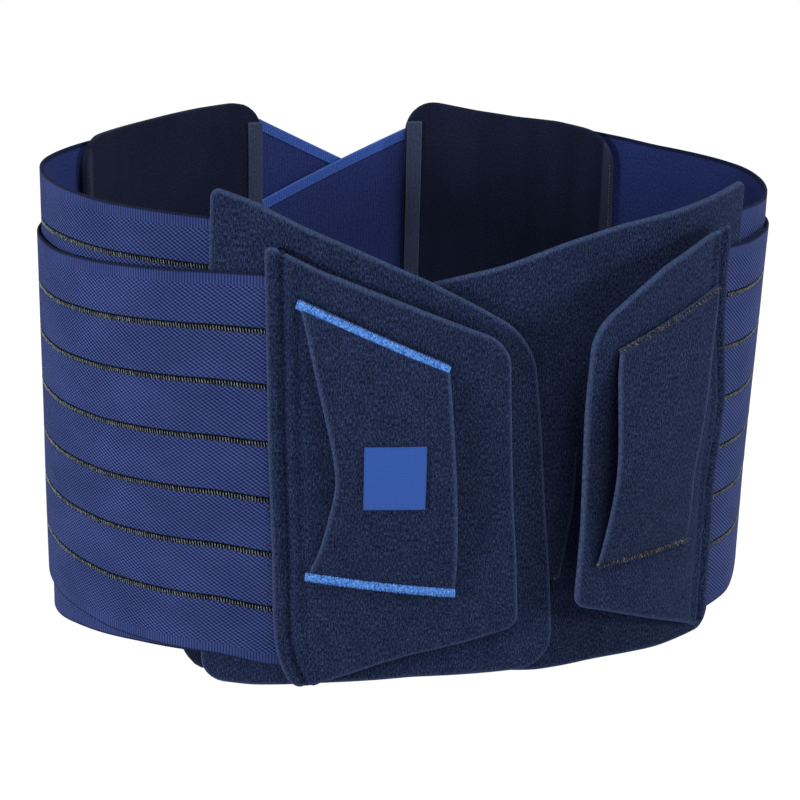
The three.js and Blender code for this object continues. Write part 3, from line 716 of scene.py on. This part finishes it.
def pattern(start, wide, foot, tall, left_rows, right_rows, bottom_rows, top_rows):
    """A pattern's four edges, from rows in shares of its width and height."""
    return (
        cut_line(left_rows, wide, start, 0.05), cut_line(right_rows, wide, start, 0.05),
        cut_line(bottom_rows, tall, foot), cut_line(top_rows, tall, foot),
    )


left_panel_cut = pattern(
    left_panel_rear, left_panel_wide, 0, left_panel_tall,
    [(0, -0.013), (1, 0.028)],
    [(0, 1), (0.15, 0.994), (0.34, 0.978), (0.52, 0.956), (0.73, 0.936), (1, 0.901)],
    [(0, 0), (0.15, 0), (0.36, 0.014), (0.59, 0.025), (1, 0.021)],
    [(0, 0.998), (0.13, 0.974), (0.28, 0.93), (0.43, 0.892), (0.66, 0.83), (0.8, 0.785), (1, 0.715)],
)
left_panel_piece = cloth_wall(
    "left_panel_fleece", left_panel_cut,
    lambda along, rise, share: fleece_layer + soft_waves(along, rise, 0.15 * MM, 0.7),
    lambda along, rise, share: fleece_layer - fleece_thick + 0 * along,
    (1.5 * MM, 0.9 * MM), corners=(10 * MM, 5 * MM, 15 * MM, 14 * MM),
)
lay_fleece(left_panel_piece, "left_front_panel")


def right_panel_out(along, rise, share):
    """The right panel dips under the left one."""
    sunk = -4.0 * MM
    place = sunk + (fleece_layer - sunk) * ramp(along, 52 * MM, 98 * MM)
    return place + soft_waves(along, rise, 0.14 * MM, 3.1)


right_panel_cut = pattern(
    right_panel_rear - right_panel_wide, right_panel_wide, 0, right_panel_tall,
    [(0, 0), (1, 0)],
    [(0, 0.975), (1, 1.004)],
    [
        (0, 0.019), (0.24, 0.018), (0.30, 0.0145), (0.36, 0.007),
        (0.41, 0.002), (0.5, 0.001), (0.7, 0.003), (1, 0),
    ],
    [(0, 0.81), (0.11, 0.827), (0.27, 0.855), (0.43, 0.896), (0.57, 0.924), (0.83, 0.966), (1, 0.995)],
)
right_panel_piece = cloth_wall(
    "right_panel_fleece", right_panel_cut, right_panel_out,
    beneath(right_panel_out, fleece_thick),
    (1.5 * MM, 0.9 * MM), corners=(9 * MM, 9 * MM, 10 * MM, 5 * MM),
)
lay_fleece(right_panel_piece, "right_front_panel")
lining_wide, lining_tall, lining_foot = 78 * MM, 200 * MM, 8 * MM
lining_thick = 1.8 * MM


def lining_out(along, rise, share):
    """The lining runs under the band and comes up past its front end."""
    risen = ramp(along, left_band_front + 0.4 * MM, left_band_front + 15 * MM)
    return back_layer + (elastic_layer - back_layer) * risen


lining_cut = (
    level(left_panel_rear - 15 * MM), level(left_panel_rear + 66 * MM),
    cut_line([(0, -0.020), (0.12, -0.030), (0.3, -0.02), (0.5, 0), (1, 0.01)], lining_tall, lining_foot),
    cut_line([(0, 0.92), (0.1, 0.92), (1, 0.85)], lining_tall, lining_foot),
)
lining_piece = cloth_wall(
    "left_lining_fleece", lining_cut, lining_out,
    beneath(lining_out, lining_thick),
    (0.8 * MM, 0.6 * MM), 3.4 * MM, corners=(14 * MM, 0, 0, 0),
)
lay(
    lining_piece, "left_front_lining", dark_lining,
)

# Pull tabs, left and right.
# Two layers of fleece sewn round the strap's end and turned over a rolled rear edge. The left tab lies
# on its hooks, and the right tab's free edge stands off the panel.
tab_layer = 6.4 * MM
tab_inner = 1.8 * MM
tab_seat = 3.8 * MM
left_tab_wide, left_tab_tall, left_tab_foot = 103.1 * MM, 188.4 * MM, 2.6 * MM
right_tab_wide, right_tab_tall, right_tab_foot = 94.1 * MM, 190.5 * MM, 4 * MM
right_tab_free = right_tab_seam - right_tab_wide


def rolled_seam(distance):
    """The tab's rear edge: a rolled welt, a sewn groove and a soft ridge after it."""
    ridges = ((-2.1, 7.0, 2.3), (-0.7, 13.4, 2.8), (0.5, 3.4, 3.2), (0.45, 10.2, 2.6))
    return sum(size * MM * hump(distance, middle * MM, half * MM) for size, middle, half in ridges)


def right_lift(along):
    """How far the right tab stands off, growing towards its free edge."""
    return 10 * MM * np.clip((right_tab_seam - along) / right_tab_wide, 0, 1) ** 1.2


def right_curl(rise):
    """The right tab's top edge stands further off."""
    return 3.2 * MM * ramp(rise, 0.66, 1.0)


left_tab_cut = pattern(
    left_tab_seam, left_tab_wide, left_tab_foot, left_tab_tall,
    [(0, 0.08), (0.025, 0.05), (0.06, 0.022), (0.12, 0.008), (0.3, 0.004), (0.55, -0.013), (1, -0.030)],
    [(0, 1), (0.23, 0.985), (0.45, 0.958), (0.85, 0.930), (1, 0.922)],
    [(0, 0), (0.1, 0.006), (0.18, 0.022), (0.4, 0.063), (0.51, 0.079), (0.74, 0.101), (1, 0.131)],
    [(0, 1), (0.25, 0.939), (0.54, 0.88), (1, 0.785)],
)


def left_tab_out(along, rise, share):
    """The left tab lies flat, with its rolled seam at the rear."""
    return tab_layer + rolled_seam(along - left_tab_cut[0](rise)) + soft_waves(along, rise, 0.16 * MM, 5.0)


left_tab_piece = cloth_wall(
    "left_tab_fleece", left_tab_cut, left_tab_out,
    lambda along, rise, share: tab_inner
    + (tab_seat - tab_inner) * (1 - ramp(along, left_tab_seam + 19 * MM, left_tab_seam + 27 * MM)),
    (1.7 * MM, 0.8 * MM), 1.4 * MM, corners=(5 * MM, 5 * MM, 5 * MM, 9 * MM),
)
lay_fleece(left_tab_piece, "left_tab")

right_tab_cut = pattern(
    right_tab_free, right_tab_wide, right_tab_foot, right_tab_tall,
    [(0, 0.030), (0.28, 0.044), (1, 0.026)],
    [
        (0, 0.951), (0.22, 0.953), (0.37, 0.946), (0.47, 0.972), (0.57, 1),
        (0.7, 0.945), (0.82, 0.892), (0.91, 0.86), (1, 0.86),
    ],
    [(0, 0.172), (0.15, 0.150), (0.42, 0.103), (0.8, 0.038), (0.91, 0.015), (1, 0.003)],
    [(0, 0.803), (0.22, 0.866), (0.45, 0.924), (0.77, 0.976), (1, 1)],
)


def right_tab_out(along, rise, share):
    """The right tab stands off, with its rolled seam at the rear."""
    seam = rolled_seam(right_tab_cut[1](rise) - along)
    return tab_layer + right_lift(along) + right_curl(rise) + seam + soft_waves(along, rise, 0.18 * MM, 1.9)


def right_tab_thins(along, rise):
    """The pile is pressed flat along the free edge and the top."""
    sideways = 1 - ramp(along - right_tab_cut[0](rise), 1 * MM, 12 * MM)
    return 1.9 * MM * np.maximum(sideways, ramp(rise, 0.93, 0.995))


right_tab_piece = cloth_wall(
    "right_tab_fleece", right_tab_cut, right_tab_out,
    lambda along, rise, share: right_lift(along) + right_curl(rise)
    + tab_inner + right_tab_thins(along, rise)
    + (tab_seat - tab_inner) * ramp(along, right_tab_seam - 27 * MM, right_tab_seam - 19 * MM),
    (1.7 * MM, 0.8 * MM), 1.4 * MM, corners=(5 * MM, 9 * MM, 9 * MM, 5 * MM),
)
lay_fleece(right_tab_piece, "right_tab")

# Finger pockets.
# One layer of the same fleece on each tab and on the right panel, tacked down along its top and its
# bottom only, so that fingers slip in from the side. The cloth stands up in between.
pocket_layer = 8.4 * MM
pocket_thick = 1.6 * MM
left_pocket_start = left_tab_seam + 11 * MM
left_pocket_wide, left_pocket_tall, left_pocket_foot = 63.4 * MM, 123.8 * MM, 45.6 * MM
right_pocket_wide, right_pocket_tall, right_pocket_foot = 63.9 * MM, 114.4 * MM, 53.7 * MM
right_pocket_start = right_tab_seam - 21.2 * MM - right_pocket_wide


def pouch(share):
    """A round swell, 0 at both ends and 1 in the middle."""
    return np.sin(math.pi * np.clip(share, 0, 1))


def pressed(rise):
    """The tacks press the pocket's two ends into the tab."""
    within, reach = np.clip(rise, 0, 1), 0.018
    return -1.0 * MM * (np.exp(-within / reach) + np.exp(-(1 - within) / reach))


left_pocket_cut = pattern(
    left_pocket_start, left_pocket_wide, left_pocket_foot, left_pocket_tall,
    [(0, 0.065), (0.11, 0.145), (0.25, 0.203), (0.36, 0.243), (0.5, 0.21), (0.72, 0.117), (1, 0)],
    [(0, 1), (0.14, 1), (1, 0.921)],
    [(0, 0.062), (1, 0)],
    [(0, 1), (1, 0.789)],
)


def left_pocket_out(along, rise, share):
    """The left pocket bulges between its tacks."""
    return pocket_layer + 6.5 * MM * pouch(rise) + pressed(rise) + soft_waves(along, rise, 0.12 * MM, 2.2)


left_pocket_piece = cloth_wall(
    "left_pocket_fleece", left_pocket_cut, left_pocket_out,
    beneath(left_pocket_out, pocket_thick),
    (0.7 * MM, 0.5 * MM), 2.0 * MM,
)
lay_fleece(left_pocket_piece, "left_tab_pocket")

right_pocket_cut = pattern(
    right_pocket_start, right_pocket_wide, right_pocket_foot, right_pocket_tall,
    [(0, 0.045), (0.42, 0.084), (0.9, 0.077), (1, 0.10)],
    [(0, 0.875), (0.09, 0.858), (0.3, 0.79), (0.49, 0.828), (0.76, 0.908), (1, 1)],
    [(0, 0), (1, 0)],
    [(0, 0.824), (1, 1)],
)


def right_pocket_out(along, rise, share):
    """The right pocket bulges too and follows the tab that stands off."""
    lift = pocket_layer + right_lift(along) + right_curl(0.28 + 0.6 * rise) + 7 * MM * pouch(rise)
    return lift + pressed(rise) + soft_waves(along, rise, 0.12 * MM, 0.9)


right_pocket_piece = cloth_wall(
    "right_pocket_fleece", right_pocket_cut, right_pocket_out,
    beneath(right_pocket_out, pocket_thick),
    (0.7 * MM, 0.5 * MM), 2.0 * MM,
)
lay_fleece(right_pocket_piece, "right_tab_pocket")

panel_pocket_wide, panel_pocket_tall = 66 * MM, 106 * MM
panel_pocket_cut = pattern(
    -20 * MM, panel_pocket_wide, 43 * MM, panel_pocket_tall,
    [(0, 0), (1, 0)],
    [(0, 0.86), (0.3, 0.94), (0.6, 0.97), (1, 0.92)],
    [(0, 0.06), (1, 0)],
    [(0, 0.85), (1, 1)],
)
panel_pocket_piece = cloth_wall(
    "panel_pocket_fleece", panel_pocket_cut,
    lambda along, rise, share: elastic_layer - 2.4 * MM * ramp(rise, 0.3, 0.62),
    lambda along, rise, share: elastic_layer - pocket_thick - 2.0 * MM * ramp(rise, 0.3, 0.62),
    (0.7 * MM, 0.4 * MM), 3.0 * MM,
)
lay_fleece(panel_pocket_piece, "right_panel_pocket")

# Tacks of the pockets.
# Dense satin rows of thick thread along the pockets' sewn ends: bright blue on the left tab, faded grey
# on the right tab and the hidden pocket.
blue_tack_thread = spun_thread(
    "blue_tack_thread", shade(22, 64, 134), shade(84, 134, 198), 0.6, (0.3, 0.7),
)
grey_tack_thread = spun_thread(
    "grey_tack_thread", shade(12, 15, 24), shade(84, 84, 92), 0.7, (0.46, 0.68),
)
left_tack_face = level(8.75 * MM)


def tack_guide(start, end, low_start, low_end, out):
    """A straight guide across the cloth between two heights."""
    share = np.linspace(0, 1, 40)
    along = start + (end - start) * share
    return (along, low_start + (low_end - low_start) * share, out(along))


left_tacks = [
    tack_guide(
        left_pocket_start - 0.6 * MM, left_pocket_start + 0.915 * left_pocket_wide,
        167.6 * MM, 141.3 * MM, left_tack_face,
    ),
    tack_guide(
        left_pocket_start + 0.055 * left_pocket_wide, left_pocket_start + 0.995 * left_pocket_wide,
        53.8 * MM, 46.0 * MM, left_tack_face,
    ),
]
thread_rows(
    "left_pocket_tacks", left_tacks, "label", blue_tack_thread,
    0.52 * MM, 4.1 * MM, 0.60 * MM, 0.10, 0.16, 11,
)
right_tacks = [
    tack_guide(
        right_pocket_start + 0.095 * right_pocket_wide, right_pocket_start + right_pocket_wide,
        147.6 * MM, 167.4 * MM, lambda along: 8.6 * MM + right_lift(along) + right_curl(0.85),
    ),
    tack_guide(
        right_pocket_start + 0.03 * right_pocket_wide, right_pocket_start + 0.9 * right_pocket_wide,
        54.6 * MM, 54.6 * MM, lambda along: 8.5 * MM + right_lift(along),
    ),
]
thread_rows(
    "right_pocket_tacks", right_tacks, "fleece", grey_tack_thread,
    0.7 * MM, 2.7 * MM, 0.5 * MM, 0.35, 1.2, 12,
)
hidden_tack = tack_guide(
    22 * MM, 34 * MM, 45 * MM, 44 * MM, lambda along: elastic_layer + 0.5 * MM + 0 * along,
)
thread_rows(
    "panel_pocket_tack", [hidden_tack], "fleece", grey_tack_thread,
    0.7 * MM, 2.0 * MM, 0.46 * MM, 0.35, 1.2, 13,
)

# Woven label.
# A small satin label with turned-in edges, sewn flat on the left pocket. It is bare.


def satin_label(name):
    """Fine satin weave: close warp lines with a faint weft under them."""
    material, tree, surface, flat = cloth_shader(name, 0.5, 0.03)
    surface.inputs["Specular IOR Level"].default_value = 0.15
    parts = add_node(tree, "ShaderNodeSeparateXYZ", {0: flat})
    warp = reckon(tree, "SINE", reckon(tree, "MULTIPLY", parts.outputs[0], 2 * math.pi * 2.2))
    weft = reckon(tree, "SINE", reckon(tree, "MULTIPLY", parts.outputs[1], 2 * math.pi * 1.5))
    height = reckon(tree, "ADD", weigh(tree, warp, 0.22, weft, 0.16), 0.5)
    colour = pick(tree, height, [(0.15, shade(22, 50, 106)), (0.85, shade(36, 70, 137))])
    past_turned_edge = spread(tree, read_layer(tree, "from_edge"), 0.25, 0.6, 0.6, 1.0)
    colour = blend_colours(tree, past_turned_edge, shade(17, 37, 83), colour)
    dye(tree, surface, colour, height, 0.25, 0.12 * MM)
    return material


label_blue = satin_label("label_blue")
label_start = left_tab_seam + 36.5 * MM
label_foot, label_wide, label_tall, label_thick = 85.3 * MM, 23.6 * MM, 26.5 * MM, 0.6 * MM
label_cut = (
    level(label_start), level(label_start + label_wide), level(label_foot), level(label_foot + label_tall),
)


def label_out(along, rise, share):
    """The label lies on the pocket's bulge."""
    pocket_share = (along - left_pocket_start) / left_pocket_wide
    low, high = left_pocket_cut[2](pocket_share), left_pocket_cut[3](pocket_share)
    on_pocket = (label_foot + label_tall * rise - low) / (high - low)
    return left_pocket_out(along, on_pocket, share) + 0.95 * MM


label_piece = cloth_wall(
    "bare_label", label_cut, label_out, beneath(label_out, label_thick), (0.2 * MM, 0.15 * MM), 1.5 * MM,
)
lay(label_piece, "label", label_blue)

# Back panels and their bindings.
# Two panels of fine dark elastic cross behind the spine. Each narrows past its own pad and is sewn under
# the other one; a folded blue binding edges its top.


def fine_elastic(name, dark, light, rib_pitch, edge_colour, edge_reach):
    """Fine ribbed knit with a thin edge line."""
    material, tree, surface, flat = cloth_shader(name, 0.8, 0.04)
    parts = add_node(tree, "ShaderNodeSeparateXYZ", {0: flat})
    ribs = reckon(tree, "SINE", reckon(tree, "MULTIPLY", parts.outputs[0], 2 * math.pi / rib_pitch))
    grain = mottle(tree, flat, (1, 1, 1), 0.8, 3.0)
    height = weigh(tree, ribs, 0.2, grain, 0.9)
    colour = pick(tree, height, [(0.2, dark), (0.75, light)])
    edge_line = spread(tree, read_layer(tree, "from_edge"), edge_reach * 0.6, edge_reach, 0.55, 0.0)
    colour = blend_colours(tree, edge_line, colour, edge_colour)
    dye(tree, surface, colour, height, 0.35, 0.2 * MM)
    return material


back_elastic = fine_elastic(
    "back_elastic", shade(22, 28, 62), shade(36, 47, 94), 0.9, shade(34, 51, 106), 0.6,
)
binding_blue = fine_elastic(
    "binding_blue", shade(34, 56, 114), shade(51, 76, 140), 1.1, shade(56, 81, 145), 0.9,
)
back_thick = 1.2 * MM
crossing_step = 2.1 * MM
binding_wide = 6 * MM
notch_slope = 0.455
top_drop = 10 * MM


def near_crossing(distance):
    """1 where the two back panels cross, 0 further out."""
    return 1 - ramp(distance, 18 * MM, 56 * MM)


def back_panel(side, tall, start, end, pad_wide, pad_inner_edge, outer):
    """One back panel, narrower past its own pad's inner edge, and its binding."""
    past = lambda share: (start + (end - start) * share - pad_inner_edge) * np.sign(pad_inner_edge)
    taper = lambda share: notch_slope * np.maximum(0, past(share))
    top = lambda share: tall - taper(share) - top_drop * np.maximum(0, -past(share)) / pad_wide
    panel = cloth_wall(
        f"{side}_back_elastic", (level(start), level(end), taper, lambda share: top(share) - 0.8 * MM),
        lambda along, rise, share: outer(along), lambda along, rise, share: outer(along) - back_thick,
        (0.3 * MM, 0.3 * MM), 3.4 * MM,
    )
    lay(
        panel, f"{side}_back_panel", back_elastic,
    )
    binding = cloth_wall(
        f"{side}_back_tape", (level(start), level(end), lambda share: top(share) - binding_wide, top),
        lambda along, rise, share: outer(along) + 0.12 * MM + 0.1 * MM * hump(rise, 0.5, 0.6),
        lambda along, rise, share: outer(along) - back_thick - 0.5 * MM,
        (0.5 * MM, 0.5 * MM), 3.4 * MM,
    )
    lay(
        binding, f"{side}_back_binding", binding_blue,
    )


back_panel(
    "left", 219.5 * MM, right_pad_inner_edge - 12 * MM - girth, left_pad_outer_edge - 16 * MM,
    left_pad_wide, left_pad_inner_edge, lambda along: back_layer + 0 * along,
)
back_panel(
    "right", 214 * MM, right_pad_outer_edge + 16 * MM, left_pad_inner_edge + 12 * MM + girth,
    right_pad_wide, right_pad_inner_edge,
    lambda along: back_layer - crossing_step * near_crossing(right_pad_inner_edge - along),
)

# Stay pads and the tapes over their stays.
# Padded sleeves of smooth dark knit that hold the flat stays beside the spine. Their outer ends are
# overlocked; a grey tape covers the stay along each inner edge.


def smooth_knit(name, outer_end):
    """Brushed near-black knit, with a slightly paler border at its outer end."""
    material, tree, surface, flat = cloth_shader(name, 0.85, 0.05, (0.7, 0.75, 1.0, 1.0))
    grain = mottle(tree, flat, (1.0, 0.7, 1), 1.3, 3.0)
    folds_and_shade = mottle(tree, flat, (1.0, 0.25, 1), 0.05, 2.0)
    colour = pick(tree, grain, [(0.3, shade(10, 13, 26)), (0.7, shade(20, 24, 42))])
    # Painted shade: the colour goes darker and lighter along the folds that also give the bump.
    colour = vary(tree, colour, folds_and_shade, (0.85, 0.85, 0.88, 1), (1.15, 1.15, 1.15, 1))
    across = add_node(tree, "ShaderNodeSeparateXYZ", {0: flat}).outputs[0]
    to_end = reckon(tree, "ABSOLUTE", reckon(tree, "SUBTRACT", across, outer_end / MM))
    border = spread(tree, to_end, 3.6, 4.8, 0.6, 0.0)
    colour = blend_colours(tree, border, colour, shade(37, 42, 59))
    dye(tree, surface, colour, weigh(tree, grain, 0.5, folds_and_shade, 0.5), 0.3, 0.3 * MM)
    return material


pad_layer = -6.1 * MM
pad_thick = 4.4 * MM
pad_tall = 227.5 * MM


def stay_pad(side, start, end, outer_rows, top_rows, corners, seed):
    """One pad, swollen by its stays. Also returns its cut and its inner face, for the stitches."""
    inner_edge, outer_end = (start, end) if side == "left" else (end, start)
    distance = lambda along: np.abs(along - inner_edge)
    outer = lambda along, rise, share: pad_layer - crossing_step * near_crossing(distance(along))
    channel_groove = lambda along: 0.8 * MM * hump(distance(along), 12.5 * MM, 2.2 * MM)
    swell = lambda rise, share: 0.9 * MM * pouch(share) * pouch(rise) ** 0.5
    inner = lambda along, rise, share: (
        outer(along, rise, share) - pad_thick - swell(rise, share)
        + channel_groove(along) + soft_waves(along, rise, 0.3 * MM, seed)
    )
    end_line = cut_line(outer_rows, MM, outer_end, 0.1)
    ends = (level(start), end_line) if side == "left" else (end_line, level(end + 1.9 * MM))
    cut = (*ends, level(0.0), cut_line(top_rows, pad_tall))
    pad = cloth_wall(f"{side}_pad_knit", cut, outer, inner, (1.0 * MM, 1.3 * MM), 2.8 * MM, corners=corners)
    pad.data.materials.append(smooth_knit(f"{side}_pad_cloth", outer_end))
    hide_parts(f"{side}_stay_pad")
    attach(pad, "root")
    return cut, inner


left_pad_cut, left_pad_face = stay_pad(
    "left", left_pad_inner_edge, left_pad_outer_edge, [(0, 0), (1, 0)],
    [(0, 0.991), (0.14, 1), (0.3, 0.991), (0.56, 0.971), (0.84, 0.952), (1, 0.939)],
    (6 * MM, 12 * MM, 6 * MM, 15 * MM), 0.5,
)
right_pad_cut, right_pad_face = stay_pad(
    "right", right_pad_outer_edge, right_pad_inner_edge, [(0, -3.0), (0.6, -2.6), (1, -0.6)],
    [(0, 0.93), (0.14, 0.952), (0.28, 0.9645), (0.47, 0.971), (0.66, 0.983), (0.85, 1.0), (1, 1)],
    (6 * MM, 14 * MM, 6 * MM, 16 * MM), 3.3,
)
grey_tape = fine_elastic(
    "grey_tape", shade(30, 36, 52), shade(48, 55, 75), 0.8, shade(56, 63, 84), 0.7,
)
tape_wide = 8.6 * MM
tape_foot, tape_top = 8 * MM, pad_tall - 10 * MM
tape_seat = pad_layer - crossing_step - pad_thick


def channel_tape(side, start):
    """The tape over a stay: gently domed, since the stay lies under it."""
    piece = cloth_wall(
        f"{side}_channel_tape",
        (level(start), level(start + tape_wide), level(tape_foot), level(tape_top)),
        lambda along, rise, share: tape_seat - 0.3 * MM + 0 * along,
        lambda along, rise, share: tape_seat - 1.5 * MM - 0.5 * MM * hump(share, 0.5, 0.6),
        (0.3 * MM, 0.5 * MM), 3.0 * MM,
    )
    lay(
        piece, f"{side}_stay_channel", grey_tape,
    )


channel_tape("left", left_pad_inner_edge)
channel_tape("right", right_pad_inner_edge - tape_wide + 1.4 * MM)

# Overlock stitches round the pads.
# Pale grey thread whips over the pads' outer ends, up to where their top corners turn.
pale_thread = spun_thread("pale_thread", shade(33, 36, 47), shade(78, 83, 94))
stitch_inset = 0.9 * MM
stitch_points = 90


def pad_edge_guide(cut, face, at_left, corner):
    """A guide just inside a pad's outer end, on its inner face."""
    left, right, _, top = cut
    high = float(top(0.0 if at_left else 1.0)) - corner
    up = np.linspace(6 * MM, high, stitch_points)
    rise = up / pad_tall
    share = np.full(stitch_points, 0.02 if at_left else 0.98)
    along = left(rise) + stitch_inset if at_left else right(rise) - stitch_inset
    fall = rounded(np.full(stitch_points, stitch_inset), 1.3 * MM)
    return (along, up, face(along, rise, share) - 0.1 * MM + fall)


overlock = [
    pad_edge_guide(left_pad_cut, left_pad_face, False, 15 * MM),
    pad_edge_guide(right_pad_cut, right_pad_face, True, 14 * MM),
]
thread_rows(
    "pad_overlock", overlock, "channel_tape", pale_thread, 1.5 * MM, 1.5 * MM, 0.42 * MM, 0.8, 0.4, 15,
)

# Floor, light and camera.
# A pale floor and white surroundings, a small soft lamp at each side and a large one above, and a camera
# at the photograph's viewpoint.
floor_half = 6
floor_level = -0.4 * MM
floor_signs = ((-1, -1), (1, -1), (1, 1), (-1, 1))
floor_corners = [(x * floor_half, y * floor_half, floor_level) for x, y in floor_signs]
floor_mesh = bpy.data.meshes.new("floor")
floor_mesh.from_pydata(floor_corners, [], [(0, 1, 2, 3)])
floor_piece = add_object("floor", floor_mesh)
floor_paint = bpy.data.materials.new("floor_paint")
floor_paint.use_nodes = True
floor_surface = floor_paint.node_tree.nodes["Principled BSDF"]
for socket_name, value in (
    ("Base Color", (0.12, 0.12, 0.12, 1)), ("Roughness", 0.9),
    ("Emission Color", (1, 1, 1, 1)), ("Emission Strength", 0.97),
):
    floor_surface.inputs[socket_name].default_value = value
floor_mesh.materials.append(floor_paint)

surroundings = bpy.data.worlds.new("surroundings")
surroundings.use_nodes = True
sky = surroundings.node_tree
seen_directly = add_node(sky, "ShaderNodeLightPath").outputs["Is Camera Ray"]
sky_strength = spread(sky, seen_directly, 0.0, 1.0, 0.16, 1.0)
sky.links.new(sky_strength, sky.nodes["Background"].inputs["Strength"])
sky.nodes["Background"].inputs["Color"].default_value = (1.0, 1.0, 1.0, 1)
bpy.context.scene.world = surroundings
bpy.context.scene.view_settings.view_transform = "Standard"

belt_middle = Vector((ring_x, ring_y, 0.11))
for lamp_name, place, power, size in (
    ("right_lamp", (1.4, -0.85, 0.38), 18, 0.36),
    ("left_lamp", (-1.5, -0.55, 0.26), 31, 0.36),
    ("top_lamp", (0.25, -0.8, 1.8), 44, 0.9),
):
    lamp_data = bpy.data.lights.new(lamp_name, "AREA")
    lamp_data.energy, lamp_data.size = power, size
    lamp = add_object(lamp_name, lamp_data)
    lamp.location = place
    lamp.rotation_euler = (belt_middle - Vector(place)).to_track_quat("-Z", "Y").to_euler()

camera_data = bpy.data.cameras.new("camera")
camera_data.lens = 71.415
camera_data.sensor_width = 36
camera = add_object("camera", camera_data)
yaw, lift, roll = math.radians(16.3), math.radians(15.0), math.radians(1.4)
reach, target_height = 0.774, 0.093
beside, beyond = -2.63 * MM, 0.38 * MM
target_x = ring_x + math.cos(yaw) * beside + math.sin(yaw) * beyond
target_y = ring_y - math.sin(yaw) * beside + math.cos(yaw) * beyond
target = Vector((target_x, target_y, target_height))
backward = Vector((-math.sin(yaw) * math.cos(lift), -math.cos(yaw) * math.cos(lift), math.sin(lift)))
camera.location = target + backward * reach
camera.rotation_mode = "QUATERNION"
camera.rotation_quaternion = (-backward).to_track_quat("-Z", "Y") @ Quaternion((0, 0, 1), roll)
bpy.context.scene.camera = camera
